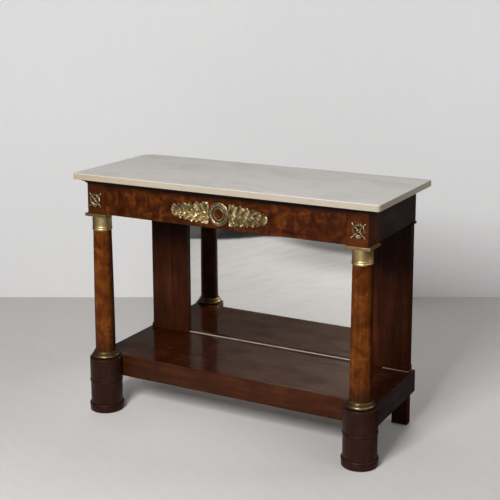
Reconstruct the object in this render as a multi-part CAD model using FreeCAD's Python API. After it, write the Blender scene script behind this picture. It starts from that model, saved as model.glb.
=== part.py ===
"""Pier table: a marble slab on a mahogany frieze with a hidden drawer.

Two turned columns on drum feet carry the front. Two flat pilasters carry the back and
frame a mirror over a deep platform shelf. Gilt castings trim the frieze and the columns.

Millimetres. X runs along the table, the front faces -Y and +Z is up. The origin is the
middle of the slab's plan at floor level. Right-hand pieces are drawn, left-hand ones are
their mirror images.
"""
import FreeCAD, Part
import math
import os

V = FreeCAD.Vector

# Clearances
FIT = 0.2               # all round a tenon, pin or ring on the piece it is glued to
SEAT = 0.3              # under a piece that only rests on the one below
DRAWER_PLAY = 1.0       # drawer to guides, blocks and top rail
EPS = 1.0               # how far a cutter runs past the face that it opens

# Marble slab
HEIGHT = 860.0
SLAB_LENGTH = 1136.0
SLAB_DEPTH = 460.0
SLAB_THICK = 21.0
SLAB_CORNER_R = 12.0
SLAB_REAR_LEFT_R = 50.0
SLAB_ARRIS = 1.6

# Frieze carcass
FRIEZE_HEIGHT = 119.2
END_OVERHANG = 44.0
FRONT_OVERHANG = 25.5
BACK_OVERHANG = 24.5
BLOCK_WIDTH = 73.5
BLOCK_DEPTH = 80.0
END_THICK = 22.0
BACK_THICK = 20.0
RAIL_THICK = 16.0
TOP_RAIL_DEPTH = 66.0
RUNNER_WIDTH = 36.0
GUIDE_HEIGHT = 26.0
TONGUE = 8.0            # length of the tongues and stub tenons between carcass boards
TONGUE_THICK = 7.0
BLOCK_ARRIS = 1.0

# Cornice moulding under the slab
CORNICE_HEIGHT = 12.5
CORNICE_PROUD = 18.0
CORNICE_FILLET = 2.0
CORNICE_FOOT = 3.5
CORNICE_SAG_OUT = 7.6   # a point on the hollow, outwards and up from its inner foot
CORNICE_SAG_UP = 5.5

# Drawer
DRAWER_SETBACK = 1.5
DRAWER_FRONT_THICK = 22.0
DRAWER_SIDE_THICK = 12.0
DRAWER_BOTTOM_THICK = 8.0
DRAWER_BOTTOM_LIFT = 6.5
DRAWER_GROOVE = 5.0
DRAWER_HEAD = 8.0       # how far the sides stop below the drawer front's top
DRAWER_REAR_SPACE = 36.0
TAIL_COUNT = 3
TAIL_LAP = 6.0
TAIL_SLOPE = 1.0 / 7.0
TAIL_SHARE = 0.64       # part of the pitch that a tail takes at its root

# Columns
COLUMN_END_INSET = 32.6
COLUMN_FRONT_INSET = 35.5
SHAFT_TOP_R = 31.8
SHAFT_FOOT_R = 35.2
SHAFT_SWELL = 0.7
COLUMN_TENON_R = 16.0
COLUMN_TENON = 32.0
ABACUS_SIDE = 83.4
ABACUS_THICK = 10.0
ABACUS_ARRIS = 1.0
SLEEVE_HEIGHT = 51.5
SLEEVE_WALL = 1.4
SLEEVE_BEAD = 7.5
SLEEVE_BEAD_BULGE = 1.8
SLEEVE_UPPER_BEAD = 6.0
SLEEVE_UPPER_BULGE = 1.2
BASE_RING_HEIGHT = 24.5
BASE_RING_R = 45.5      # at its foot, inside the torus
RING_TORUS = 12.5
RING_TORUS_BULGE = 4.0
RING_TORUS_LEAN = 0.5
RING_FILLET = 1.5
RING_WAIST = 4.5        # wall at the waist and at the lip
RING_LIP = 3.5
RING_WAIST_Z = 17.5
RING_BEAD = 4.0
RING_BEAD_BULGE = 1.6

# Drum feet
DRUM_R = 56.8
DRUM_LOW_R = 56.1       # below the bead
DRUM_SHOULDER = 4.0
SHOULDER_BULGE = 1.2
DRUM_BEAD = 6.0
DRUM_BEAD_BULGE = 1.8
DRUM_BEAD_DROP = 7.0
DRUM_FOOT_R = 60.9
DRUM_FOOT_HEIGHT = 29.0
DRUM_FOOT_ARRIS = 2.0
DRUM_FOOT_BAND = 1.0    # set back of the lower band
DRUM_FOOT_BULGE = 1.6
DRUM_FOOT_GROOVE = 2.0
DRUM_FOOT_GROOVE_Z = 20.0
DRUM_SPIGOT_R = 30.0
DRUM_SPIGOT = 20.3

# Platform shelf
SHELF_END_PROUD = 10.5  # past the ends of the frieze
SHELF_FRONT_INSET = 65.6
SHELF_UNDERSIDE = 118.0
SHELF_THICK = 77.5
SHELF_BOARD = 20.0
SHELF_RAIL = 22.0
SHELF_BLOCK_DEPTH = 60.0
SHELF_ROUND = 1.5
BEARER_THICK = 24.0
BEARER_HEIGHT = 44.0
BEARER_SPREAD = 340.0

# Rear supports and mirror
REAR_INSET = 21.0       # rear plane of shelf, pilasters and feet behind the slab's edge
PILASTER_END_INSET = 4.6
PILASTER_WIDTH = 90.8
PILASTER_THICK = 32.5
PILASTER_ARRIS = 1.0
PLINTH_HEIGHT = 18.0
PLINTH_PROUD = 3.0
PLINTH_CHAMFER = 2.0
CAP_HEIGHT = 8.0
CAP_PROUD = 9.0
CAP_CHAMFER = 2.0
POST_TENON = 15.0
POST_TENON_THICK = 8.0
POST_TENON_MARGIN = 16.0
REAR_FOOT_WIDTH = 57.8
REAR_FOOT_DEPTH = 28.0
STILE_WIDTH = 64.1
STILE_SETBACK = 2.0
GLASS_SETBACK = 14.2
GLASS_THICK = 5.0
GLASS_BEVEL = 10.0
GLASS_BEVEL_DROP = 1.8
REBATE = 10.0
BACKBOARD_THICK = 8.0
MIRROR_RAIL_HEIGHT = 30.0

# Gilt castings on the frieze
CASTING_RISE = 49.5     # their centres above the frieze's lower edge
RIM_STEPS = 44          # straight runs round an oval rim
LEAF_NOTCH = 2.2
ROUNDEL_HALF_WIDTH = 36.0
ROUNDEL_HALF_HEIGHT = 40.0
ROUNDEL_THICK = 4.0
ROUNDEL_RING_HALF_WIDTH = 26.0
ROUNDEL_RING_HALF_HEIGHT = 29.5
ROUNDEL_RING_THICK = 8.5
ROUNDEL_EYE_HALF_WIDTH = 18.0
ROUNDEL_EYE_HALF_HEIGHT = 20.0
SPRAY_LENGTH = 142.0
SPRAY_ROOT_HALF = 38.5
SPRAY_TIP_HALF = 14.0
SPRAY_GAP = 2.0
SPRAY_LOBES = 5
SPRAY_TAPER = 0.9
SPRAY_WAIST = 4.0       # depth of the bays between its lobes
SPRAY_RUNS = 4
SPRAY_THICK = 4.0
SPRAY_RIB_HALF = 5.5
SPRAY_RIB_THICK = 6.0
WREATH_HALF_WIDTH = 19.5
WREATH_HALF_HEIGHT = 24.0
WREATH_BAND = 5.0
TORCH_LENGTH = 74.0
TORCH_TAIL = 4.5
TORCH_HEAD = 9.0
TORCH_FLAME = 3.6
TORCH_THICK = 2.7
TORCH_ANGLE = 43.0
ROSETTE_R = 8.0
CASTING_THICK = 4.5

# Levels and planes that the pieces share
FRIEZE_TOP = HEIGHT - SLAB_THICK - SEAT
FRIEZE_BOTTOM = FRIEZE_TOP - FRIEZE_HEIGHT
SHELF_TOP = SHELF_UNDERSIDE + SHELF_THICK
END_X = SLAB_LENGTH / 2.0 - END_OVERHANG
FRONT_Y = FRONT_OVERHANG - SLAB_DEPTH / 2.0
BACK_Y = SLAB_DEPTH / 2.0 - BACK_OVERHANG
BLOCK_X = END_X - BLOCK_WIDTH
BLOCK_BACK_Y = FRONT_Y + BLOCK_DEPTH
RAIL_BACK_Y = BACK_Y - BACK_THICK
COLUMN_X = END_X - COLUMN_END_INSET
COLUMN_Y = FRONT_Y + COLUMN_FRONT_INSET
CASTING_LIFT = FRIEZE_BOTTOM + CASTING_RISE
SHAFT_TOP_Z = FRIEZE_BOTTOM - ABACUS_THICK
SLEEVE_BOTTOM = SHAFT_TOP_Z - SLEEVE_HEIGHT
REAR_Y = SLAB_DEPTH / 2.0 - REAR_INSET
PILASTER_OUT_X = END_X - PILASTER_END_INSET
PILASTER_IN_X = PILASTER_OUT_X - PILASTER_WIDTH
PILASTER_Y = REAR_Y - PILASTER_THICK
STILE_IN_X = PILASTER_IN_X - STILE_WIDTH
STILE_Y = PILASTER_Y + STILE_SETBACK
GLASS_Y = PILASTER_Y + GLASS_SETBACK
SHELF_X = END_X + SHELF_END_PROUD
SHELF_Y = FRONT_Y + SHELF_FRONT_INSET
SHELF_BOARD_Z = SHELF_TOP - SHELF_BOARD
POST_TENON_Y = REAR_Y - POST_TENON_MARGIN
DRAWER_X = BLOCK_X - DRAWER_PLAY
DRAWER_FACE_Y = FRONT_Y + DRAWER_SETBACK
DRAWER_BOX_Y = DRAWER_FACE_Y + DRAWER_FRONT_THICK
DRAWER_REAR_Y = RAIL_BACK_Y - DRAWER_REAR_SPACE
DRAWER_FOOT_Z = FRIEZE_BOTTOM + SEAT
DRAWER_TOP_Z = FRIEZE_TOP - RAIL_THICK - DRAWER_PLAY
RUNNER_TOP = FRIEZE_BOTTOM + RAIL_THICK
DRAWER_SIDE_Z = RUNNER_TOP + SEAT
DRAWER_SIDE_TOP = DRAWER_TOP_Z - DRAWER_HEAD
DRAWER_BOTTOM_Z = DRAWER_SIDE_Z + DRAWER_BOTTOM_LIFT
DRAWER_INNER_X = DRAWER_X - DRAWER_SIDE_THICK


# ---- drawing helpers ----

def block(x, y, z):
    """Box between the (low, high) pairs x, y and z."""
    return Part.makeBox(x[1] - x[0], y[1] - y[0], z[1] - z[0], V(x[0], y[0], z[0]))


def grown(x, y, z, by):
    """The same box made larger by a clearance on every side."""
    return block((x[0] - by, x[1] + by), (y[0] - by, y[1] + by), (z[0] - by, z[1] + by))


def upright(x, y, radius, z):
    """Cylinder on a vertical axis between two heights."""
    return Part.makeCylinder(radius, z[1] - z[0], V(x, y, z[0]))


def prism(points, along):
    """Solid swept from a closed straight-sided outline."""
    return Part.Face(Part.makePolygon(points + points[:1])).extrude(along)


def mirrored(shape):
    """The left-hand twin of a right-hand piece."""
    return shape.mirror(V(0, 0, 0), V(1, 0, 0))


def eased(solid, size, wanted):
    """Chamfer the edges whose middle point passes the test."""
    edges = [edge for edge in solid.Edges if wanted(edge.CenterOfMass)]
    return solid.makeChamfer(size, edges)


def save(name, shape):
    """Write one piece as its own file."""
    shape.exportStep("parts/" + name + ".step")


def save_pair(name, right):
    """Write a right-hand piece and its left-hand twin."""
    save(name + "_right", right)
    save(name + "_left", mirrored(right))


def save_twins(name, right):
    """Write a right-hand piece and its left-hand twin into one file."""
    save(name, Part.makeCompound([right, mirrored(right)]))


class Turning:
    """Half outline of a turned piece, drawn upwards from its foot."""

    def __init__(self, radius, z):
        self.bore = radius
        self.start = V(radius, 0, z)
        self.point = self.start
        self.edges = []

    def line(self, radius, z):
        """Straight run to a radius and height."""
        target = V(radius, 0, z)
        self.edges.append(Part.LineSegment(self.point, target).toShape())
        self.point = target
        return self

    def curve(self, radius, z, bulge, runs=3):
        """Arc in short runs, whose middle stands off its chord, outwards where bulge is positive."""
        target = V(radius, 0, z)
        chord = target - self.point
        side = V(chord.z, 0, -chord.x).normalize()
        middle = (self.point + target) * 0.5 + side * bulge
        for point in Part.Arc(self.point, middle, target).toShape().discretize(runs + 1)[1:]:
            self.line(point.x, point.z)
        return self

    def swell(self, radius, z, bulge):
        """Long flat arc, kept as one true curve."""
        target = V(radius, 0, z)
        middle = (self.point + target) * 0.5 + V(bulge, 0, 0)
        self.edges.append(Part.Arc(self.point, middle, target).toShape())
        self.point = target
        return self

    def solid(self, x, y):
        """Close the outline on its starting radius and turn it about a vertical axis."""
        self.line(self.bore, self.point.z)
        self.line(self.start.x, self.start.z)
        face = Part.Face(Part.Wire(self.edges))
        turned = face.revolve(V(0, 0, 0), V(0, 0, 1), 360)
        turned.translate(V(x, y, 0))
        return turned


# ---- marble ----

def marble_slab():
    """Slab with small corner curves and one rear corner rounded much further."""
    x = SLAB_LENGTH / 2.0
    y = SLAB_DEPTH / 2.0
    slab = block((-x, x), (-y, y), (HEIGHT - SLAB_THICK, HEIGHT))
    corners = {(-1, -1): SLAB_CORNER_R, (1, -1): SLAB_CORNER_R,
               (1, 1): SLAB_CORNER_R / 3.0, (-1, 1): SLAB_REAR_LEFT_R}
    for (side, end), radius in corners.items():
        edges = [edge for edge in slab.Edges
                 if edge.CenterOfMass.x * side > x - EPS and edge.CenterOfMass.y * end > y - EPS]
        slab = slab.makeFillet(radius, edges)
    rim = [edge for edge in slab.Edges if edge.BoundBox.ZMin > HEIGHT - EPS]
    return slab.makeChamfer(SLAB_ARRIS, rim)


# ---- frieze carcass ----

def rail_tenon(z):
    """Extent of a front rail's stub tenon inside the right-hand block."""
    middle = (z[0] + z[1]) / 2.0
    return ((BLOCK_X, BLOCK_X + TONGUE),
            (DRAWER_BOX_Y + TONGUE, BLOCK_BACK_Y - TONGUE),
            (middle - TONGUE_THICK / 2.0, middle + TONGUE_THICK / 2.0))


TOP_RAIL_Z = (FRIEZE_TOP - RAIL_THICK, FRIEZE_TOP)
BOTTOM_RAIL_Z = (FRIEZE_BOTTOM, FRIEZE_BOTTOM + RAIL_THICK)


def front_rail(y, z):
    """Rail between the corner blocks with a stub tenon at each end."""
    rail = block((-BLOCK_X, BLOCK_X), y, z)
    tenon = block(*rail_tenon(z))
    return rail.fuse([tenon, mirrored(tenon)]).removeSplitter()


def end_tongue():
    """Extent of the upright tongue of the end board in the back of the block."""
    middle = END_X - END_THICK / 2.0
    return ((middle - TONGUE_THICK / 2.0, middle + TONGUE_THICK / 2.0),
            (BLOCK_BACK_Y - TONGUE, BLOCK_BACK_Y),
            (FRIEZE_BOTTOM, FRIEZE_TOP))


def rear_tongue():
    """Extent of the back rail's tongue in the end board."""
    middle = BACK_Y - BACK_THICK / 2.0
    return ((END_X - END_THICK, END_X - END_THICK + TONGUE),
            (middle - TONGUE_THICK / 2.0, middle + TONGUE_THICK / 2.0),
            (FRIEZE_BOTTOM, FRIEZE_TOP))


def corner_block():
    """Solid block over the column, mortised for the rails, the end board and the column."""
    solid = block((BLOCK_X, END_X), (FRONT_Y, BLOCK_BACK_Y), (FRIEZE_BOTTOM, FRIEZE_TOP))
    solid = eased(solid, BLOCK_ARRIS, lambda p: abs(p.y - FRONT_Y) < EPS and p.z > FRIEZE_BOTTOM + EPS
                  and p.z < FRIEZE_TOP - EPS)
    cuts = [grown(*rail_tenon(TOP_RAIL_Z), FIT), grown(*rail_tenon(BOTTOM_RAIL_Z), FIT)]
    cuts.append(grown(*end_tongue(), FIT))
    cuts.append(upright(COLUMN_X, COLUMN_Y, COLUMN_TENON_R + FIT,
                        (FRIEZE_BOTTOM - EPS, FRIEZE_BOTTOM + COLUMN_TENON - ABACUS_THICK + FIT)))
    return solid.cut(cuts)


def frieze_end():
    """End board with its tongue and the groove that takes the back rail."""
    board = block((END_X - END_THICK, END_X), (BLOCK_BACK_Y, BACK_Y), (FRIEZE_BOTTOM, FRIEZE_TOP))
    board = board.fuse(block(*end_tongue())).removeSplitter()
    return board.cut(grown(*rear_tongue(), FIT))


def frieze_back():
    """Back rail with a tongue at each end and mortises for the pilasters."""
    rail = block((END_THICK - END_X, END_X - END_THICK), (RAIL_BACK_Y, BACK_Y), (FRIEZE_BOTTOM, FRIEZE_TOP))
    tongue = block(*rear_tongue())
    rail = rail.fuse([tongue, mirrored(tongue)]).removeSplitter()
    mortise = grown(*post_tenon_top(), FIT)
    return rail.cut([mortise, mirrored(mortise)])


def drawer_support(width, height, z):
    """Strip along the end board between the block and the back rail."""
    inner = BLOCK_X - width
    return block((inner, END_X - END_THICK), (BLOCK_BACK_Y, RAIL_BACK_Y), (z, z + height))


def drawer_guide():
    """Strip on the runner, flush with the block's inner face."""
    return block((BLOCK_X, END_X - END_THICK), (BLOCK_BACK_Y, RAIL_BACK_Y),
                 (RUNNER_TOP, RUNNER_TOP + GUIDE_HEIGHT))


# ---- cornice ----

def cornice_run(origin, outwards, along):
    """Length of cavetto moulding on a face, before its mitres are cut."""
    def at(proud, up):
        return origin + outwards * proud + V(0, 0, up)
    sag = at(CORNICE_SAG_OUT, CORNICE_SAG_UP)
    low = at(CORNICE_FOOT, CORNICE_FILLET)
    tip = at(CORNICE_PROUD - EPS, CORNICE_HEIGHT - CORNICE_FILLET)
    straight = [at(CORNICE_PROUD - EPS, CORNICE_HEIGHT - CORNICE_FILLET),
                at(CORNICE_PROUD, CORNICE_HEIGHT - CORNICE_FILLET), at(CORNICE_PROUD, CORNICE_HEIGHT),
                at(0, CORNICE_HEIGHT), at(0, 0), at(CORNICE_FOOT, 0), low]
    edges = [Part.LineSegment(a, b).toShape() for a, b in zip(straight, straight[1:])]
    edges.append(Part.Arc(low, sag, tip).toShape())
    return Part.Face(Part.Wire(edges)).extrude(along)


def cornice_pieces():
    """Front length and the short return that turns the corner over each block."""
    z = FRIEZE_TOP - CORNICE_HEIGHT
    tip_x = END_X + CORNICE_PROUD
    tip_y = FRONT_Y - CORNICE_PROUD
    front = cornice_run(V(-tip_x, FRONT_Y, z), V(0, -1, 0), V(2 * tip_x, 0, 0))
    plan = [V(-END_X, FRONT_Y, z), V(END_X, FRONT_Y, z), V(tip_x, tip_y, z), V(-tip_x, tip_y, z)]
    front = front.common(prism(plan, V(0, 0, CORNICE_HEIGHT)))
    side = cornice_run(V(END_X, tip_y, z), V(1, 0, 0), V(0, BLOCK_BACK_Y - tip_y, 0))
    plan = [V(END_X, FRONT_Y, z), V(tip_x, tip_y, z), V(tip_x, BLOCK_BACK_Y, z), V(END_X, BLOCK_BACK_Y, z)]
    side = side.common(prism(plan, V(0, 0, CORNICE_HEIGHT)))
    return front, side


# ---- drawer ----

def tails(root_y, length, z, outwards):
    """Dovetails of a drawer side: wedges that widen away from the side."""
    pitch = (z[1] - z[0]) / TAIL_COUNT
    spread = length * TAIL_SLOPE
    wedges = []
    for index in range(TAIL_COUNT):
        middle = z[0] + pitch * (index + 0.5)
        half = pitch * TAIL_SHARE / 2.0
        tip_y = root_y + outwards * length
        points = [V(DRAWER_INNER_X, root_y, middle - half), V(DRAWER_INNER_X, root_y, middle + half),
                  V(DRAWER_INNER_X, tip_y, middle + half + spread),
                  V(DRAWER_INNER_X, tip_y, middle - half - spread)]
        wedges.append(prism(points, V(DRAWER_SIDE_THICK, 0, 0)))
    return wedges


def front_tails():
    """Tails let into the drawer front, stopping short of its face."""
    return tails(DRAWER_BOX_Y, DRAWER_FRONT_THICK - TAIL_LAP, (DRAWER_SIDE_Z, DRAWER_SIDE_TOP), -1)


def rear_tails():
    """Tails that pass right through the drawer back."""
    return tails(DRAWER_REAR_Y - DRAWER_SIDE_THICK, DRAWER_SIDE_THICK,
                 (DRAWER_BOTTOM_Z + DRAWER_BOTTOM_THICK, DRAWER_SIDE_TOP), 1)


def bottom_extent():
    """Extent of the drawer bottom, housed in the front and the sides."""
    reach = DRAWER_INNER_X + DRAWER_GROOVE
    return ((-reach, reach), (DRAWER_BOX_Y - DRAWER_GROOVE, DRAWER_REAR_Y),
            (DRAWER_BOTTOM_Z, DRAWER_BOTTOM_Z + DRAWER_BOTTOM_THICK))


def drawer_front():
    """Front board that hides the lower rail, socketed for the sides."""
    board = block((-DRAWER_X, DRAWER_X), (DRAWER_FACE_Y, DRAWER_BOX_Y), (DRAWER_FOOT_Z, DRAWER_TOP_Z))
    board = eased(board, BLOCK_ARRIS / 2.0, lambda p: abs(p.y - DRAWER_FACE_Y) < EPS / 2.0)
    cuts = front_tails()
    cuts += [mirrored(tail) for tail in front_tails()]
    cuts.append(grown(*bottom_extent(), FIT))
    return board.cut(cuts)


def drawer_side():
    """Side board with lapped tails in front and through tails behind."""
    body = block((DRAWER_INNER_X, DRAWER_X), (DRAWER_BOX_Y, DRAWER_REAR_Y - DRAWER_SIDE_THICK),
                 (DRAWER_SIDE_Z, DRAWER_SIDE_TOP))
    body = body.fuse(front_tails() + rear_tails()).removeSplitter()
    heel = block((DRAWER_INNER_X, DRAWER_X), (DRAWER_REAR_Y - DRAWER_SIDE_THICK - EPS, DRAWER_REAR_Y),
                 (DRAWER_SIDE_Z, DRAWER_BOTTOM_Z + DRAWER_BOTTOM_THICK))
    body = body.fuse(heel).removeSplitter()
    return body.cut(grown(*bottom_extent(), FIT))


def drawer_back():
    """Back board over the bottom, pinned between the tails of the sides."""
    board = block((-DRAWER_X, DRAWER_X), (DRAWER_REAR_Y - DRAWER_SIDE_THICK, DRAWER_REAR_Y),
                  (DRAWER_BOTTOM_Z + DRAWER_BOTTOM_THICK + FIT, DRAWER_SIDE_TOP))
    return board.cut(rear_tails() + [mirrored(tail) for tail in rear_tails()])


# ---- gilt castings ----

def oval(half_width, half_height, thick, notch=0.0):
    """Upright oval disc in front of the plane y = 0, its rim cut into leaf tips by a notch depth."""
    points = []
    for index in range(RIM_STEPS):
        angle = 2.0 * math.pi * index / RIM_STEPS
        inset = notch * (index % 2)
        points.append(V((half_width - inset) * math.cos(angle), 0, (half_height - inset) * math.sin(angle)))
    return prism(points, V(0, -thick, 0))


def opened(disc, half_width, half_height, thick):
    """The disc with an oval hole right through it."""
    hole = oval(half_width, half_height, thick + 2.0 * EPS)
    hole.translate(V(0, EPS, 0))
    return disc.cut(hole)


def roundel():
    """Oval roundel: a leafy border, a raised ring and an open eye."""
    border = oval(ROUNDEL_HALF_WIDTH, ROUNDEL_HALF_HEIGHT, ROUNDEL_THICK, LEAF_NOTCH)
    ring = oval(ROUNDEL_RING_HALF_WIDTH, ROUNDEL_RING_HALF_HEIGHT, ROUNDEL_RING_THICK)
    shape = border.fuse(ring).removeSplitter()
    shape = opened(shape, ROUNDEL_EYE_HALF_WIDTH, ROUNDEL_EYE_HALF_HEIGHT, ROUNDEL_RING_THICK)
    shape.translate(V(0, DRAWER_FACE_Y, CASTING_LIFT))
    return shape


def spray_half_width(share):
    """Half height of the spray's outline at a share of its length."""
    return SPRAY_TIP_HALF + (SPRAY_ROOT_HALF - SPRAY_TIP_HALF) * (1.0 - share) ** SPRAY_TAPER


def spray():
    """Acanthus spray: a tapering, blunt-ended leaf whose edges run in lobes, with a raised rib."""
    start = ROUNDEL_HALF_WIDTH + SPRAY_GAP
    stretch = SPRAY_LENGTH - SPRAY_TIP_HALF

    def rim(step, side, depth):
        share = step / (2.0 * SPRAY_LOBES)
        return V(start + stretch * share, 0, side * (spray_half_width(share) - depth))

    edges = []
    for side in (1.0, -1.0):
        edge = [rim(0, side, 0)]
        for lobe in range(SPRAY_LOBES):
            crest = rim(2 * lobe + 1, side, 0)
            waist = rim(2 * lobe + 2, side, SPRAY_WAIST)
            arc = Part.Arc(edge[-1], crest, waist).toShape()
            edge += arc.discretize(SPRAY_RUNS + 1)[1:]
        edges.append(edge)
    upper, lower = edges
    tip = Part.Arc(upper[-1], V(start + SPRAY_LENGTH, 0, 0), lower[-1]).toShape()
    outline = upper + tip.discretize(2 * SPRAY_RUNS + 1)[1:-1] + lower[::-1] + [V(start + SPRAY_WAIST, 0, 0)]
    leaf = prism(outline, V(0, -SPRAY_THICK, 0))
    rib = prism([V(start + 2.0 * SPRAY_WAIST, 0, -SPRAY_RIB_HALF), V(start + stretch, 0, 0),
                 V(start + 2.0 * SPRAY_WAIST, 0, SPRAY_RIB_HALF)], V(0, -SPRAY_RIB_THICK, 0))
    shape = leaf.fuse(rib).removeSplitter()
    shape.translate(V(0, DRAWER_FACE_Y, CASTING_LIFT))
    return shape


def torch(lean):
    """Flat tapered torch through the wreath's centre, leaning by an angle in degrees."""
    half = TORCH_LENGTH / 2.0
    bar = prism([V(-TORCH_TAIL / 2.0, 0, -half), V(TORCH_TAIL / 2.0, 0, -half),
                 V(TORCH_HEAD / 2.0, 0, half - TORCH_HEAD), V(TORCH_FLAME / 2.0, 0, half),
                 V(-TORCH_FLAME / 2.0, 0, half), V(-TORCH_HEAD / 2.0, 0, half - TORCH_HEAD)],
                V(0, -TORCH_THICK, 0))
    bar.rotate(V(0, 0, 0), V(0, 1, 0), lean)
    return bar


def corner_casting():
    """Laurel wreath over crossed torches, with a rosette where they cross."""
    wreath = oval(WREATH_HALF_WIDTH, WREATH_HALF_HEIGHT, CASTING_THICK, LEAF_NOTCH)
    wreath = opened(wreath, WREATH_HALF_WIDTH - WREATH_BAND, WREATH_HALF_HEIGHT - WREATH_BAND, CASTING_THICK)
    pieces = [torch(TORCH_ANGLE), torch(-TORCH_ANGLE), oval(ROSETTE_R, ROSETTE_R, CASTING_THICK)]
    shape = wreath.fuse(pieces).removeSplitter()
    shape.translate(V(COLUMN_X, FRONT_Y, CASTING_LIFT))
    return shape


# ---- columns and drums ----

def shaft():
    """Tapering shaft with a slight swell, a plain band inside each brass ring and two tenons."""
    bottom = SHELF_TOP - COLUMN_TENON
    top = FRIEZE_BOTTOM + COLUMN_TENON - ABACUS_THICK
    outline = Turning(0, bottom).line(COLUMN_TENON_R, bottom).line(COLUMN_TENON_R, SHELF_TOP)
    outline.line(SHAFT_FOOT_R, SHELF_TOP).line(SHAFT_FOOT_R, SHELF_TOP + BASE_RING_HEIGHT)
    outline.swell(SHAFT_TOP_R, SLEEVE_BOTTOM, SHAFT_SWELL).line(SHAFT_TOP_R, SHAFT_TOP_Z)
    outline.line(COLUMN_TENON_R, SHAFT_TOP_Z).line(COLUMN_TENON_R, top)
    return outline.solid(COLUMN_X, COLUMN_Y)


def capital_sleeve():
    """Brass sleeve under the abacus with two beads at its foot."""
    wall = SHAFT_TOP_R + FIT + SLEEVE_WALL
    z = SLEEVE_BOTTOM
    outline = Turning(SHAFT_TOP_R + FIT, z).line(wall, z)
    outline.curve(wall, z + SLEEVE_BEAD, SLEEVE_BEAD_BULGE)
    outline.curve(wall, z + SLEEVE_BEAD + SLEEVE_UPPER_BEAD, SLEEVE_UPPER_BULGE, 2)
    outline.line(wall, SHAFT_TOP_Z)
    return outline.solid(COLUMN_X, COLUMN_Y)


def abacus():
    """Square brass plate between sleeve and frieze, bored for the column's tenon."""
    half = ABACUS_SIDE / 2.0
    plate = block((COLUMN_X - half, COLUMN_X + half), (COLUMN_Y - half, COLUMN_Y + half),
                  (SHAFT_TOP_Z, FRIEZE_BOTTOM))
    plate = eased(plate, ABACUS_ARRIS, lambda p: p.z > SHAFT_TOP_Z - EPS)
    return plate.cut(upright(COLUMN_X, COLUMN_Y, COLUMN_TENON_R + FIT, (SHAFT_TOP_Z - EPS, FRIEZE_BOTTOM + EPS)))


def base_ring():
    """Moulded brass base: torus, fillets, scotia and a small upper bead."""
    bore = SHAFT_FOOT_R + FIT
    z = SHELF_TOP
    lip = bore + RING_LIP
    waist = bore + RING_WAIST
    bead_top = z + RING_WAIST_Z + RING_BEAD
    outline = Turning(bore, z).line(BASE_RING_R, z)
    outline.curve(BASE_RING_R - RING_TORUS_LEAN, z + RING_TORUS, RING_TORUS_BULGE)
    outline.line(waist + 2.0 * RING_FILLET, z + RING_TORUS + RING_FILLET)
    outline.line(waist, z + RING_WAIST_Z).curve(waist, bead_top, RING_BEAD_BULGE, 2)
    outline.line(lip, bead_top).line(lip, z + BASE_RING_HEIGHT)
    return outline.solid(COLUMN_X, COLUMN_Y)


def drum():
    """Drum foot with a rounded shoulder, a bead under the shelf and a spigot below."""
    bead_top = SHELF_UNDERSIDE - DRUM_BEAD_DROP + DRUM_BEAD / 2.0
    bead_bottom = bead_top - DRUM_BEAD
    foot = DRUM_FOOT_HEIGHT
    spigot_z = foot - DRUM_SPIGOT
    outline = Turning(0, spigot_z).line(DRUM_SPIGOT_R, spigot_z).line(DRUM_SPIGOT_R, foot)
    outline.line(DRUM_LOW_R, foot).line(DRUM_LOW_R, bead_bottom).line(DRUM_R, bead_bottom)
    outline.curve(DRUM_R, bead_top, DRUM_BEAD_BULGE, 2)
    outline.line(DRUM_R, SHELF_TOP - DRUM_SHOULDER)
    outline.curve(DRUM_R - DRUM_SHOULDER, SHELF_TOP, SHOULDER_BULGE, 2)
    solid = outline.solid(COLUMN_X, COLUMN_Y)
    return solid.cut(upright(COLUMN_X, COLUMN_Y, COLUMN_TENON_R + FIT,
                             (SHELF_TOP - COLUMN_TENON - FIT, SHELF_TOP + EPS)))


def drum_foot():
    """Turned base moulding with a groove near the floor, bored for the drum's spigot."""
    band = DRUM_FOOT_R - DRUM_FOOT_BAND
    floor = band - DRUM_FOOT_GROOVE
    groove_z = DRUM_FOOT_GROOVE_Z
    outline = Turning(0, 0).line(band - DRUM_FOOT_ARRIS / 2.0, 0).line(band, DRUM_FOOT_ARRIS)
    outline.line(band, groove_z - DRUM_FOOT_GROOVE).line(floor, groove_z - 0.75 * DRUM_FOOT_GROOVE)
    outline.line(floor, groove_z).line(DRUM_FOOT_R, groove_z + DRUM_FOOT_GROOVE / 4.0)
    outline.curve(DRUM_R, DRUM_FOOT_HEIGHT, DRUM_FOOT_BULGE, 2)
    solid = outline.solid(COLUMN_X, COLUMN_Y)
    return solid.cut(upright(COLUMN_X, COLUMN_Y, DRUM_SPIGOT_R + FIT,
                             (DRUM_FOOT_HEIGHT - DRUM_SPIGOT - FIT, DRUM_FOOT_HEIGHT + EPS)))


# ---- platform shelf ----

def drum_housing():
    """Room that the shelf's pieces leave for the drum."""
    return upright(COLUMN_X, COLUMN_Y, DRUM_R + FIT, (SHELF_UNDERSIDE - EPS, SHELF_TOP + EPS))


def shelf_board():
    """Top board notched round both drums and mortised for the pilasters."""
    board = block((-SHELF_X, SHELF_X), (SHELF_Y, REAR_Y), (SHELF_BOARD_Z, SHELF_TOP))
    board = eased(board, SHELF_ROUND, lambda p: p.z > SHELF_TOP - EPS and p.y < REAR_Y - EPS)
    mortise = grown(*post_tenon_foot(), FIT)
    housing = drum_housing()
    return board.cut([housing, mirrored(housing), mortise, mirrored(mortise)])


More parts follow.
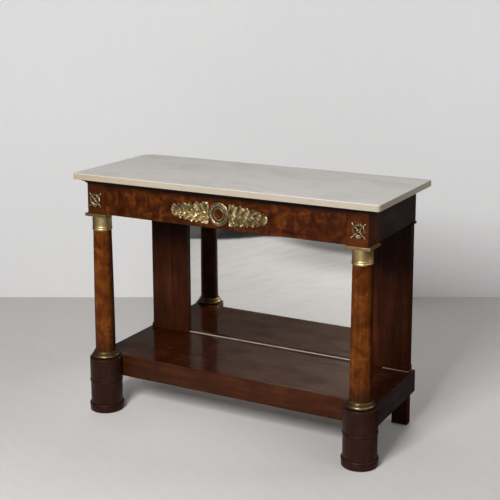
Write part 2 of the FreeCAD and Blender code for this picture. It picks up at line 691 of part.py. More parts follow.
def shelf_front():
    """Front rail whose ends are hollowed to fit the drums."""
    rail = block((-SHELF_X, SHELF_X), (SHELF_Y, SHELF_Y + SHELF_RAIL), (SHELF_UNDERSIDE, SHELF_BOARD_Z))
    beyond = block((COLUMN_X, SHELF_X + EPS), (SHELF_Y - EPS, SHELF_Y + SHELF_RAIL + EPS),
                   (SHELF_UNDERSIDE - EPS, SHELF_BOARD_Z + EPS))
    housing = drum_housing()
    return rail.cut([beyond, mirrored(beyond), housing, mirrored(housing)])


def shelf_block():
    """Corner block behind the drum, hollowed so that the drum beds in it."""
    solid = block((COLUMN_X - DRUM_R, SHELF_X - SHELF_RAIL),
                  (SHELF_Y + SHELF_RAIL, SHELF_Y + SHELF_RAIL + SHELF_BLOCK_DEPTH), (SHELF_UNDERSIDE, SHELF_BOARD_Z))
    return solid.cut(drum_housing())


def shelf_end():
    """End rail from the drum to the rear plane."""
    rail = block((SHELF_X - SHELF_RAIL, SHELF_X), (COLUMN_Y, REAR_Y), (SHELF_UNDERSIDE, SHELF_BOARD_Z))
    return rail.cut(drum_housing())


def shelf_back():
    """Rear rail between the ends, mortised for the rear feet."""
    inner = SHELF_X - SHELF_RAIL
    rail = block((-inner, inner), (REAR_Y - SHELF_RAIL, REAR_Y), (SHELF_UNDERSIDE, SHELF_BOARD_Z))
    mortise = grown(*rear_foot_tenon(), FIT)
    return rail.cut([mortise, mirrored(mortise)])


def shelf_bearer():
    """Cross bearer under the top board."""
    middle = BEARER_SPREAD / 2.0
    return block((middle - BEARER_THICK / 2.0, middle + BEARER_THICK / 2.0),
                 (SHELF_Y + SHELF_RAIL, REAR_Y - SHELF_RAIL), (SHELF_BOARD_Z - BEARER_HEIGHT, SHELF_BOARD_Z))


# ---- rear supports ----

def post_tenon_span():
    """Widths of the pilaster's tenons."""
    return (PILASTER_IN_X + POST_TENON_MARGIN,
            min(PILASTER_OUT_X, END_X - END_THICK) - POST_TENON_MARGIN)


def post_tenon_foot():
    """Extent of the pilaster's lower tenon in the shelf board."""
    return (post_tenon_span(), (POST_TENON_Y, POST_TENON_Y + POST_TENON_THICK),
            (SHELF_TOP - POST_TENON, SHELF_TOP + PLINTH_HEIGHT))


def post_tenon_top():
    """Extent of the pilaster's upper tenon in the frieze's back rail."""
    return (post_tenon_span(), (POST_TENON_Y, POST_TENON_Y + POST_TENON_THICK),
            (FRIEZE_BOTTOM - CAP_HEIGHT, FRIEZE_BOTTOM + POST_TENON))


def pilaster():
    """Flat rear support between its plinth and its cap, tenoned through both."""
    board = block((PILASTER_IN_X, PILASTER_OUT_X), (PILASTER_Y, REAR_Y),
                  (SHELF_TOP + PLINTH_HEIGHT, FRIEZE_BOTTOM - CAP_HEIGHT))
    board = eased(board, PILASTER_ARRIS, lambda p: abs(p.y - PILASTER_Y) < EPS and p.x > PILASTER_IN_X + EPS
                  and abs(p.x - PILASTER_OUT_X) < EPS)
    return board.fuse([block(*post_tenon_foot()), block(*post_tenon_top())]).removeSplitter()


def pilaster_plinth():
    """Low plinth under the pilaster, proud of its face and outer edge."""
    slab = block((PILASTER_IN_X, PILASTER_OUT_X + PLINTH_PROUD), (PILASTER_Y - PLINTH_PROUD, REAR_Y),
                 (SHELF_TOP, SHELF_TOP + PLINTH_HEIGHT))
    slab = eased(slab, PLINTH_CHAMFER, lambda p: p.z > SHELF_TOP + PLINTH_HEIGHT - EPS
                 and (p.y < PILASTER_Y - EPS or p.x > PILASTER_OUT_X + EPS))
    return slab.cut(grown(*post_tenon_foot(), FIT))


def pilaster_cap():
    """Thin cap plate between the pilaster and the frieze."""
    plate = block((PILASTER_IN_X, PILASTER_OUT_X + CAP_PROUD), (PILASTER_Y - CAP_PROUD, BACK_Y),
                  (FRIEZE_BOTTOM - CAP_HEIGHT, FRIEZE_BOTTOM))
    plate = eased(plate, CAP_CHAMFER, lambda p: p.z < FRIEZE_BOTTOM - CAP_HEIGHT + EPS
                  and (p.y < PILASTER_Y - EPS or p.x > PILASTER_OUT_X + EPS))
    return plate.cut(grown(*post_tenon_top(), FIT))


def rear_foot_tenon():
    """Extent of the rear foot's tenon in the shelf's back rail."""
    inner = PILASTER_OUT_X - REAR_FOOT_WIDTH
    outer = min(PILASTER_OUT_X, SHELF_X - SHELF_RAIL)
    return ((inner + POST_TENON_MARGIN / 2.0, outer - POST_TENON_MARGIN / 2.0),
            (POST_TENON_Y, POST_TENON_Y + POST_TENON_THICK),
            (SHELF_UNDERSIDE, SHELF_UNDERSIDE + POST_TENON))


def rear_foot():
    """Square rear foot under the pilaster."""
    leg = block((PILASTER_OUT_X - REAR_FOOT_WIDTH, PILASTER_OUT_X), (REAR_Y - REAR_FOOT_DEPTH, REAR_Y),
                (0, SHELF_UNDERSIDE))
    leg = eased(leg, PILASTER_ARRIS, lambda p: p.z < SHELF_UNDERSIDE - EPS)
    return leg.fuse(block(*rear_foot_tenon())).removeSplitter()


# ---- mirror ----

def mirror_stile():
    """Upright frame piece, rebated behind for the glass and its backboard."""
    outline = [V(STILE_IN_X, STILE_Y, SHELF_TOP), V(PILASTER_IN_X, STILE_Y, SHELF_TOP),
               V(PILASTER_IN_X, REAR_Y, SHELF_TOP), V(STILE_IN_X + REBATE, REAR_Y, SHELF_TOP),
               V(STILE_IN_X + REBATE, GLASS_Y, SHELF_TOP), V(STILE_IN_X, GLASS_Y, SHELF_TOP)]
    return prism(outline, V(0, 0, FRIEZE_BOTTOM - SHELF_TOP))


def mirror_rail():
    """Top rail between the stiles with the same rebate."""
    z = FRIEZE_BOTTOM - MIRROR_RAIL_HEIGHT
    outline = [V(-STILE_IN_X, STILE_Y, z), V(-STILE_IN_X, GLASS_Y, z), V(-STILE_IN_X, GLASS_Y, z + REBATE),
               V(-STILE_IN_X, REAR_Y, z + REBATE), V(-STILE_IN_X, REAR_Y, FRIEZE_BOTTOM),
               V(-STILE_IN_X, STILE_Y, FRIEZE_BOTTOM)]
    return prism(outline, V(2.0 * STILE_IN_X, 0, 0))


def mirror_pane(y, thick):
    """Sheet that fills the frame's rebates and stands on the shelf."""
    reach = STILE_IN_X + REBATE - FIT
    top = FRIEZE_BOTTOM - MIRROR_RAIL_HEIGHT + REBATE - FIT
    return block((-reach, reach), (y, y + thick), (SHELF_TOP, top))


def mirror_glass():
    """Bevelled plate."""
    pane = mirror_pane(GLASS_Y, GLASS_THICK)
    reach = pane.BoundBox.XMax
    top = pane.BoundBox.ZMax
    outer = Part.makePolygon([V(-reach, 0, SHELF_TOP), V(reach, 0, SHELF_TOP), V(reach, 0, top),
                              V(-reach, 0, top), V(-reach, 0, SHELF_TOP)])
    inner = Part.makePolygon([V(-reach + GLASS_BEVEL, 0, SHELF_TOP + GLASS_BEVEL),
                              V(reach - GLASS_BEVEL, 0, SHELF_TOP + GLASS_BEVEL),
                              V(reach - GLASS_BEVEL, 0, top - GLASS_BEVEL),
                              V(-reach + GLASS_BEVEL, 0, top - GLASS_BEVEL),
                              V(-reach + GLASS_BEVEL, 0, SHELF_TOP + GLASS_BEVEL)])
    outer.translate(V(0, GLASS_Y + GLASS_BEVEL_DROP, 0))
    inner.translate(V(0, GLASS_Y, 0))
    front = Part.makeLoft([inner, outer], True, True)
    back = block((-reach, reach), (GLASS_Y + GLASS_BEVEL_DROP, GLASS_Y + GLASS_THICK), (SHELF_TOP, top))
    return front.fuse(back).removeSplitter()


def main():
    """Build every piece and write it."""
    os.makedirs("parts", exist_ok=True)
    save("marble_top", marble_slab())

    save_pair("corner_block", corner_block())
    save_pair("frieze_end", frieze_end())
    save("frieze_back_rail", frieze_back())
    save("frieze_top_rail", front_rail((FRONT_Y, FRONT_Y + TOP_RAIL_DEPTH), TOP_RAIL_Z))
    save("frieze_bottom_rail", front_rail((DRAWER_BOX_Y + SEAT, BLOCK_BACK_Y), BOTTOM_RAIL_Z))
    save_pair("drawer_runner", drawer_support(RUNNER_WIDTH, RAIL_THICK, FRIEZE_BOTTOM))
    save_pair("drawer_guide", drawer_guide())
    save_pair("drawer_kicker", drawer_support(RUNNER_WIDTH, RAIL_THICK, FRIEZE_TOP - RAIL_THICK))
    cornice_front, cornice_side = cornice_pieces()
    save("cornice_front", cornice_front)
    save_pair("cornice_return", cornice_side)

    save("drawer_front", drawer_front())
    save_pair("drawer_side", drawer_side())
    save("drawer_back", drawer_back())
    save("drawer_bottom", block(*bottom_extent()))
    save("frieze_roundel", roundel())
    save_pair("frieze_spray", spray())
    save_pair("corner_casting", corner_casting())

    save_pair("abacus", abacus())
    save_twins("capital_sleeves", capital_sleeve())
    save_pair("column_shaft", shaft())
    save_twins("column_base_rings", base_ring())
    save_pair("drum", drum())
    save_twins("drum_feet", drum_foot())

    save("shelf_board", shelf_board())
    save("shelf_front_rail", shelf_front())
    save_pair("shelf_block", shelf_block())
    save_pair("shelf_end_rail", shelf_end())
    save("shelf_back_rail", shelf_back())
    save_pair("shelf_bearer", shelf_bearer())

    save_pair("pilaster", pilaster())
    save_pair("pilaster_plinth", pilaster_plinth())
    save_pair("pilaster_cap", pilaster_cap())
    save_pair("rear_foot", rear_foot())
    save_pair("mirror_stile", mirror_stile())
    save("mirror_top_rail", mirror_rail())
    save("mirror_glass", mirror_glass())
    save("mirror_backboard", mirror_pane(GLASS_Y + GLASS_THICK + SEAT, BACKBOARD_THICK))


main()
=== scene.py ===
"""Looks of a marble-topped pier table: finishes, finer turned work, gilt castings, studio and camera."""
import logging
import math
from dataclasses import dataclass, field, replace
from enum import Enum
from typing import Callable, Sequence

import bmesh
import bpy
from mathutils import Matrix, Vector


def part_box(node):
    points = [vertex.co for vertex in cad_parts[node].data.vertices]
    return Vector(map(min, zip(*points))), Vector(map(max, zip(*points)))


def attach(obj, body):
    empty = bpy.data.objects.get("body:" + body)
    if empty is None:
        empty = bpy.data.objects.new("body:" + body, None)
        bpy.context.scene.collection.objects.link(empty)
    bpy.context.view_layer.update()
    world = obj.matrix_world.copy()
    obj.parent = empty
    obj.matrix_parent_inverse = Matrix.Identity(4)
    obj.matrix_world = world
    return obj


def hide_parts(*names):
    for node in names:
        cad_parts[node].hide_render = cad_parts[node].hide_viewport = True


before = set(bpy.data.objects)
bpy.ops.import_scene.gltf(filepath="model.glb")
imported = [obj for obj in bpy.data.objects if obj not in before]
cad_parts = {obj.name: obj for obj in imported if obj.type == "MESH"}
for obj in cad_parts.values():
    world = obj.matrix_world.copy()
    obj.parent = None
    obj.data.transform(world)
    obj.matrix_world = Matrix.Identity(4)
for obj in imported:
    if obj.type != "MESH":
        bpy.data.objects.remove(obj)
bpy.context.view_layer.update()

LOG = logging.getLogger("pier_table")
MM = 0.001
MERGE = 1e-5
LEAF_THICKNESS = 0.7 * MM
NARROW = 1.5 * MM
FLAT_ANGLE = math.radians(0.5)
SHARP_ANGLE = math.radians(30.0)
Triple = tuple[float, float, float]
Colour = Triple
DEEP = 1000.0
UPRIGHT = Matrix.Rotation(math.radians(90.0), 4, "X")


# ---- shader arithmetic ----

class Wire:
    """A shader socket that takes part in plain arithmetic."""

    def __init__(self, bench: "Bench", socket: bpy.types.NodeSocket) -> None:
        """Keep the socket and the bench that it belongs to."""
        self.bench = bench
        self.socket = socket

    def _sum(self, operation: str, first: object, second: object) -> "Wire":
        """Add one Math node on two values, each a number or a Wire."""
        return self.bench.node("ShaderNodeMath", {"operation": operation}, {0: first, 1: second})

    def __add__(self, other: object) -> "Wire":
        """Sum."""
        return self._sum("ADD", self, other)

    def __radd__(self, other: object) -> "Wire":
        """Sum with a number in front."""
        return self._sum("ADD", other, self)

    def __sub__(self, other: object) -> "Wire":
        """Difference."""
        return self._sum("SUBTRACT", self, other)

    def __rsub__(self, other: object) -> "Wire":
        """Difference from a number in front."""
        return self._sum("SUBTRACT", other, self)

    def __mul__(self, other: object) -> "Wire":
        """Product."""
        return self._sum("MULTIPLY", self, other)

    def __rmul__(self, other: object) -> "Wire":
        """Product with a number in front."""
        return self._sum("MULTIPLY", other, self)

    def __abs__(self) -> "Wire":
        """Size without its sign."""
        return self._sum("ABSOLUTE", self, 0.0)

    def between(self, low: float, high: float) -> "Wire":
        """Smooth step from 0 at low to 1 at high."""
        return self.bench.node("ShaderNodeMapRange", {"interpolation_type": "SMOOTHSTEP"},
                               {"Value": self, "From Min": low, "From Max": high})


def find_socket(sockets: Sequence[bpy.types.NodeSocket], key: str | int) -> bpy.types.NodeSocket:
    """Look a socket up.

    Args:
        sockets: a node's inputs or outputs.
        key: a place in the list, an identifier or a name.

    Returns:
        The socket.
    """
    if isinstance(key, int):
        return sockets[key]
    for socket in sockets:
        if socket.identifier == key:
            return socket
    return sockets[key]


class Bench:
    """One material's node tree, and the single way in which nodes are added to it."""

    def __init__(self, name: str) -> None:
        """Start a material with a Principled shader.

        Args:
            name: the material's name.
        """
        self.material = bpy.data.materials.new(name)
        self.material.use_nodes = True
        self.tree = self.material.node_tree
        self.shader = self.tree.nodes["Principled BSDF"]

    def node(self, kind: str, settings: dict[str, object] | None = None,
             inputs: dict[str | int, object] | None = None, output: str | int = 0) -> Wire:
        """Add one node.

        Args:
            kind: the node's type.
            settings: attributes set first; "stops" fills a colour ramp.
            inputs: values or Wires by socket.
            output: the socket that is returned.

        Returns:
            The chosen output.
        """
        made = self.tree.nodes.new(kind)
        for key, value in (settings or {}).items():
            if key == "stops":
                self._fill_ramp(made.color_ramp, value)
            else:
                setattr(made, key, value)
        for key, value in (inputs or {}).items():
            self.join(value, find_socket(made.inputs, key))
        return Wire(self, find_socket(made.outputs, output))

    @staticmethod
    def _fill_ramp(ramp: bpy.types.ColorRamp, stops: Sequence[tuple[float, Colour]]) -> None:
        """Set a colour ramp's stops.

        Args:
            ramp: the ramp of a new node.
            stops: places from 0 to 1, each with its colour.
        """
        while len(ramp.elements) < len(stops):
            ramp.elements.new(1.0)
        for element, (place, colour) in zip(ramp.elements, stops):
            element.position = place
            element.color = (*colour, 1.0)

    def join(self, value: object, socket: bpy.types.NodeSocket) -> None:
        """Set a socket to a plain value, or link a Wire to it.

        Args:
            value: a number, a vector, a colour or a Wire.
            socket: the input that takes it.
        """
        if isinstance(value, Wire):
            self.tree.links.new(value.socket, socket)
        elif isinstance(value, tuple) and socket.type == "RGBA":
            socket.default_value = (*value, 1.0)
        else:
            socket.default_value = value

    def set(self, **sockets: object) -> None:
        """Set the Principled shader's sockets, with underscores for the spaces in their names."""
        for key, value in sockets.items():
            self.join(value, self.shader.inputs[key.replace("_", " ")])

    def space(self, scale: Triple = (1.0, 1.0, 1.0), turn: Triple = (0.0, 0.0, 0.0),
              shift: Triple = (0.0, 0.0, 0.0)) -> Wire:
        """Object coordinates, turned first and then scaled and shifted by Mapping nodes.

        Args:
            scale: factor along each axis.
            turn: angle about each axis, in radians.
            shift: distance along each axis, in metres.

        Returns:
            The coordinates.
        """
        place = self.node("ShaderNodeTexCoord", output="Object")
        if any(turn):
            place = self.node("ShaderNodeMapping", inputs={"Vector": place, "Rotation": turn})
        return self.node("ShaderNodeMapping", inputs={"Vector": place, "Scale": scale, "Location": shift})

    def part(self, vector: Wire, axis: str) -> Wire:
        """One part of a vector: X, Y or Z."""
        return self.node("ShaderNodeSeparateXYZ", inputs={"Vector": vector}, output=axis)

    def noise(self, vector: Wire, scale: float, detail: float = 3.0, distortion: float = 0.0,
              roughness: float = 0.5, output: str = "Fac") -> Wire:
        """Noise texture.

        Args:
            vector: where it is read.
            scale: waves per metre.
            detail: number of finer layers.
            distortion: how far its waves are bent.
            roughness: strength of each finer layer.
            output: "Fac", or "Color" for three noises at once.

        Returns:
            The noise.
        """
        return self.node("ShaderNodeTexNoise", inputs={"Vector": vector, "Scale": scale, "Detail": detail,
                                                       "Distortion": distortion, "Roughness": roughness},
                         output=output)

    def mix(self, factor: object, first: object, second: object) -> Wire:
        """Mix two colours."""
        return self.node("ShaderNodeMix", {"data_type": "RGBA"},
                         {"Factor_Float": factor, "A_Color": first, "B_Color": second}, "Result_Color")

    def ramp(self, value: Wire, stops: Sequence[tuple[float, Colour]]) -> Wire:
        """Colour ramp."""
        return self.node("ShaderNodeValToRGB", {"stops": stops}, {"Fac": value}, "Color")

    def bump(self, height: Wire, strength: float, distance: float) -> None:
        """Feed a Bump node into the shader's normal."""
        self.set(Normal=self.node("ShaderNodeBump", inputs={"Height": height, "Strength": strength,
                                                            "Distance": distance}, output="Normal"))

    def warp(self, vector: Wire, scale: float, reach: float) -> Wire:
        """Push a vector about by soft noise.

        Args:
            vector: the vector.
            scale: waves of the noise per metre.
            reach: span of the push along each axis, in metres.

        Returns:
            The pushed vector.
        """
        push = self.noise(vector, scale, 2.0, output="Color")
        centred = self.node("ShaderNodeVectorMath", {"operation": "SUBTRACT"}, {0: push, 1: (0.5, 0.5, 0.5)})
        scaled = self.node("ShaderNodeVectorMath", {"operation": "SCALE"}, {0: centred, "Scale": reach})
        return self.node("ShaderNodeVectorMath", {"operation": "ADD"}, {0: vector, 1: scaled})


class AirBench(Bench):
    """The world's node tree, worked on as a material's is."""

    def __init__(self, name: str) -> None:
        """Start a world.

        Args:
            name: the world's name.
        """
        world = bpy.data.worlds.new(name)
        world.use_nodes = True
        bpy.context.scene.world = world
        self.tree = world.node_tree
        self.shader = self.tree.nodes["Background"]


# ---- finishes ----

class Grain(Enum):
    """Axis that a board's grain follows, as the share of each axis that counts across the grain."""

    ALONG_X = (0.06, 1.0, 1.0)
    ALONG_Y = (1.0, 0.06, 1.0)
    ALONG_Z = (1.0, 1.0, 0.06)


@dataclass(frozen=True)
class Tint:
    """Colour that deepens along one axis of an object.

    Attributes:
        axis: X, Y or Z.
        start: where it begins, in metres.
        end: where it is full; it may lie on either side of the start.
        colour: the colour.
        share: its greatest share.
    """

    axis: str
    start: float
    end: float
    colour: Colour
    share: float

    def over(self, bench: Bench, colour: Wire) -> Wire:
        """Lay the tint over a colour.

        Args:
            bench: the material's bench.
            colour: what the tint covers.

        Returns:
            The tinted colour.
        """
        along = bench.part(bench.space(), self.axis)
        reach = along.between(self.start, self.end) if self.end > self.start \
            else 1.0 - along.between(self.end, self.start)
        return bench.mix(reach * self.share, colour, self.colour)


@dataclass(frozen=True)
class Mahogany:
    """French-polished mahogany with pores, bands and a blotched figure.

    Attributes:
        name: the material's name.
        dark: colour of the pores and of the figure's depths.
        middle: colour halfway.
        light: colour of the figure's crests.
        grain: axis of the grain.
        figure: share of the blotched figure; bands and fibres take the rest.
        figure_scale: blotches per metre.
        roughness: mean roughness of the polish.
        coat: weight of the clear coat.
        shift: where the pattern is read, so that pieces differ.
        shine: reflection of the wood under the coat.
        patches: unevenness of the polish.
        wear: greatest share of the coat that is rubbed away.
        tints: parts that are darker or paler.
    """

    name: str
    dark: Colour
    middle: Colour
    light: Colour
    grain: Grain = Grain.ALONG_X
    figure: float = 0.5
    figure_scale: float = 14.0
    roughness: float = 0.3
    coat: float = 0.0
    shift: Triple = (0.0, 0.0, 0.0)
    shine: float = 0.12
    patches: float = 0.16
    wear: float = 0.0
    tints: tuple[Tint, ...] = ()
    band_scale: float = 75.0
    fibre_scale: float = 420.0
    pore_scale: float = 1100.0
    pore_depth: float = 0.45
    coat_roughness: float = 0.09

    def build(self) -> bpy.types.Material:
        """Make the material.

        Returns:
            The material.
        """
        bench = Bench(self.name)
        place = bench.space(shift=self.shift)
        grained = bench.space(scale=self.grain.value, shift=self.shift)
        swirled = bench.warp(place, self.figure_scale * 0.6, 0.05)
        figure = bench.noise(swirled, self.figure_scale, 3.0, 0.9)
        wavy = bench.warp(grained, 22.0, 0.012)
        bands = bench.noise(wavy, self.band_scale, 4.0, 0.2, 0.6)
        fibres = bench.noise(grained, self.fibre_scale, 3.0, 0.0, 0.6)
        pores = bench.noise(grained, self.pore_scale, 1.0)
        straight = 1.0 - self.figure
        tone = figure * self.figure + bands * straight * 0.75 + fibres * straight * 0.25
        colour = bench.ramp(tone, [(0.3, self.dark), (0.5, self.middle), (0.7, self.light)])
        colour = bench.mix(pores.between(0.6, 0.75) * self.pore_depth, colour, self.dark)
        for tint in self.tints:
            colour = tint.over(bench, colour)
        smears = bench.warp(bench.space(scale=(0.4, 1.0, 1.0), shift=self.shift), 7.0, 0.06)
        worn = bench.noise(smears, 11.0, 5.0, 0.4).between(0.3, 0.8)
        uneven = bench.noise(place, 9.0, 4.0) - 0.5
        bench.set(Base_Color=colour, Coat_Weight=self.coat * (1.0 - self.wear * worn),
                  Coat_Roughness=self.coat_roughness, Specular_IOR_Level=self.shine,
                  Roughness=self.roughness + self.patches * uneven + 0.3 * self.patches * fibres)
        bench.bump(pores * 0.5 + bands * 0.5, 0.75 * self.patches, 0.0004)
        return bench.material


@dataclass(frozen=True)
class PlainTimber:
    """Unpolished carcass timber."""

    name: str
    tone: Colour
    grain: Grain = Grain.ALONG_X

    def build(self) -> bpy.types.Material:
        """Make the material.

        Returns:
            The material.
        """
        bench = Bench(self.name)
        grained = bench.space(scale=self.grain.value)
        bands = bench.noise(bench.warp(grained, 18.0, 0.02), 60.0, 4.0, 0.3)
        fibres = bench.noise(grained, 600.0, 2.0)
        dark = tuple(0.55 * part for part in self.tone)
        colour = bench.ramp(bands * 0.7 + fibres * 0.3, [(0.3, dark), (0.65, self.tone)])
        darkening = bench.noise(bench.space(), 5.0, 4.0).between(0.45, 0.75) * 0.5
        bench.set(Base_Color=bench.mix(darkening, colour, dark), Roughness=0.62 + 0.2 * bands)
        bench.bump(fibres, 0.25, 0.0006)
        return bench.material


@dataclass(frozen=True)
class GiltBronze:
    """Worn gilt bronze, dull where the gilding has gone, with a painted highlight on the ridges and dust and painted
    shade in the hollows.

    Attributes:
        name: the material's name.
        bright: colour of sound gilding.
        dull: colour of worn gilding.
        dirt_and_shade: colour of the dust and painted shade in the hollows.
        roughness: roughness of sound gilding.
        ridge_highlight: how strongly the painted highlight keeps ridges bright.
        hollow: width of the hollows that hold dust and painted shade, in metres.
        lathe: strength of the turning marks.
        chased: strength of the punched ground.
        clouding: patches of wear per metre.
    """

    name: str
    bright: Colour
    dull: Colour
    dirt_and_shade: Colour
    roughness: float = 0.3
    ridge_highlight: float = 0.0
    hollow: float = 0.004
    lathe: float = 0.0
    chased: float = 0.0
    clouding: float = 38.0

    def build(self) -> bpy.types.Material:
        """Make the material.

        Returns:
            The material.
        """
        bench = Bench(self.name)
        place = bench.space()
        cloud = bench.noise(place, self.clouding, 4.0)
        speck = bench.noise(place, 420.0, 3.0)
        marks = bench.noise(bench.space(scale=(0.02, 0.02, 1.0)), 380.0, 3.0, 0.0, 0.7)
        wear_less_ridge_highlight = cloud * 0.6 + speck * 0.4
        # Painted highlight: sharp ridges, read from pointiness, keep the bright gilding.
        if self.ridge_highlight:
            ridge = bench.node("ShaderNodeNewGeometry", output="Pointiness")
            wear_less_ridge_highlight = wear_less_ridge_highlight - (ridge - 0.5) * self.ridge_highlight
        mask = wear_less_ridge_highlight.between(0.42, 0.66)
        colour = bench.mix(mask, self.bright, self.dull)
        # Ambient occlusion darkens the hollows: partly dust, partly painted shade.
        openness = bench.node("ShaderNodeAmbientOcclusion", {"samples": 8, "only_local": True},
                              {"Distance": self.hollow}, "AO")
        darkening = 1.0 - (openness + 0.3 * (speck - 0.5)).between(0.35, 0.9)
        bench.set(Base_Color=bench.mix(darkening, colour, self.dirt_and_shade), Metallic=1.0 - 0.5 * darkening,
                  Roughness=self.roughness + 0.22 * mask + 0.2 * darkening)
        punched = bench.noise(place, 180.0, 3.0, 0.6)
        bench.bump(speck * (0.4 - 0.2 * self.lathe) + marks * self.lathe + punched * self.chased,
                   0.2 + 0.5 * self.lathe + 0.5 * self.chased, 0.0004 + 0.0012 * self.lathe + 0.0016 * self.chased)
        return bench.material


@dataclass(frozen=True)
class HonedMarble:
    """Pale honed marble with faint clouds and a creamy, stained edge.

    Attributes:
        name: the material's name.
        face: main colour of the top.
        cloud: colour of its clouds and veins.
        cream: colour of its warmer patches.
        edge: colour of the edge.
        stain: colour of the stains on the edge.
        edge_top: height at which the edge turns into the top, in metres.
        left_end: X of the left end, which has yellowed most.
        yellowing: greatest share of the yellowing.
        yellow_reach: how far it goes along the edge, in metres.
        edge_fade: height over which the edge's colour ends, in metres.
    """

    name: str
    face: Colour
    cloud: Colour
    cream: Colour
    edge: Colour
    stain: Colour
    edge_top: float
    left_end: float
    yellowing: float = 0.9
    yellow_reach: float = 0.35
    edge_fade: float = 0.0012

    def build(self) -> bpy.types.Material:
        """Make the material.

        Returns:
            The material.
        """
        bench = Bench(self.name)
        place = bench.space()
        streaked = bench.space(scale=(1.0, 2.2, 1.0), turn=(0.0, 0.0, 0.25))
        clouds = bench.noise(bench.warp(streaked, 4.0, 0.1), 5.0, 6.0, 0.4, 0.6)
        colour = bench.mix(clouds.between(0.42, 0.72), self.face, self.cloud)
        creamy = bench.noise(bench.warp(place, 3.0, 0.12), 4.5, 4.0, 0.6).between(0.54, 0.74) * 0.8
        colour = bench.mix(creamy, colour, self.cream)
        vein = abs(bench.noise(bench.warp(place, 6.0, 0.08), 7.0, 6.0, 0.8) - 0.5)
        colour = bench.mix((1.0 - vein.between(0.0, 0.03)) * 0.22, colour, self.cloud)
        grit = bench.noise(place, 160.0, 4.0)
        colour = bench.mix(0.16 * grit.between(0.3, 0.8), colour, self.cloud)
        blotch = bench.noise(bench.space(scale=(1.0, 1.0, 3.0)), 26.0, 5.0, 0.5)
        sound = bench.part(place, "X").between(self.left_end, self.left_end + self.yellow_reach)
        yellowed = (1.0 - sound) * self.yellowing
        side = bench.mix(blotch.between(0.5, 0.72) * 0.55 + yellowed * blotch, self.edge, self.stain)
        below = 1.0 - bench.part(place, "Z").between(self.edge_top - self.edge_fade, self.edge_top)
        bench.set(Base_Color=bench.mix(below, colour, side), Roughness=0.38 + 0.2 * (clouds - 0.5), Coat_Weight=0.08,
                  Coat_Roughness=0.25)
        bench.bump(grit * 0.6 + clouds * 0.4, 0.06, 0.0006)
        return bench.material


@dataclass(frozen=True)
class OldMirror:
    """Silvered plate with a soft haze, slanting wipes and foxing near its rim.

    Attributes:
        name: the material's name.
        silver: colour of the unspotted plate.
        foxing: colour of the spots where the silver has gone.
        half_width: half the plate's width, in metres.
        foot: height of its lower edge.
        head: height of its upper edge.
        side_fade: how far foxing reaches in from the sides, in metres.
        foot_fade: how far it reaches up from the foot.
        head_fade: how far it reaches down from the head.
        wipe_lean: lean of the wipes, in degrees.
    """

    name: str
    silver: Colour
    foxing: Colour
    half_width: float
    foot: float
    head: float
    side_fade: float = 0.05
    foot_fade: float = 0.02
    head_fade: float = 0.04
    wipe_lean: float = 19.0

    def build(self) -> bpy.types.Material:
        """Make the material.

        Returns:
            The material.
        """
        bench = Bench(self.name)
        place = bench.space()
        across = abs(bench.part(place, "X"))
        up = bench.part(place, "Z")
        rim = (across.between(self.half_width - self.side_fade, self.half_width)
               + (1.0 - up.between(self.foot, self.foot + self.foot_fade))
               + up.between(self.head - self.head_fade, self.head))
        spots = bench.noise(place, 210.0, 4.0).between(0.56, 0.7) * bench.noise(place, 24.0, 3.0).between(0.4, 0.65)
        mask = rim * spots * 0.6
        haze = bench.noise(place, 5.0, 4.0)
        leaning = bench.space(scale=(0.07, 1.0, 1.0), turn=(0.0, math.radians(self.wipe_lean), 0.0))
        wipes = bench.noise(bench.warp(leaning, 9.0, 0.01), 90.0, 4.0, 0.0, 0.7).between(0.4, 0.72)
        silver = bench.mix(wipes * 0.6, self.silver, tuple(0.86 * part for part in self.silver))
        bench.set(Base_Color=bench.mix(mask, silver, self.foxing), Metallic=1.0,
                  Roughness=0.012 + 0.02 * haze + 0.02 * wipes + 0.4 * mask)
        return bench.material


@dataclass(frozen=True)
class PaintedGlintEdge:
    """Pale, matt strip that paints the glint along a glass plate's edge, a little chipped."""

    name: str
    pale: Colour
    chip: Colour

    def build(self) -> bpy.types.Material:
        """Make the material.

        Returns:
            The material.
        """
        bench = Bench(self.name)
        chips = bench.noise(bench.space(scale=(0.4, 1.0, 1.0)), 90.0, 4.0).between(0.5, 0.72)
        grit = bench.noise(bench.space(), 900.0, 2.0)
        bench.set(Base_Color=bench.mix(chips * 0.6, self.pale, self.chip), Roughness=0.45 + 0.2 * grit)
        bench.bump(grit, 0.3, 0.0003)
        return bench.material


@dataclass(frozen=True)
class Patch:
    """Round or oval part of a surface.

    Attributes:
        middle: its middle, in metres.
        turn: its turn about Z, in degrees.
        reach: its half sizes, in metres.
        strength: how strongly it shows.
    """

    middle: Triple
    turn: float
    reach: Triple
    strength: float = 1.0

    def distance(self, bench: Bench, place: Wire) -> Wire:
        """Distance from the middle, 1 at the rim.

        Args:
            bench: the material.
            place: object coordinates.

        Returns:
            The distance.
        """
        inside = bench.node("ShaderNodeMapping", {"vector_type": "TEXTURE"},
                            {"Vector": place, "Location": self.middle,
                             "Rotation": (0.0, 0.0, math.radians(self.turn)), "Scale": self.reach})
        return bench.node("ShaderNodeVectorMath", {"operation": "LENGTH"}, {0: inside}, "Value")


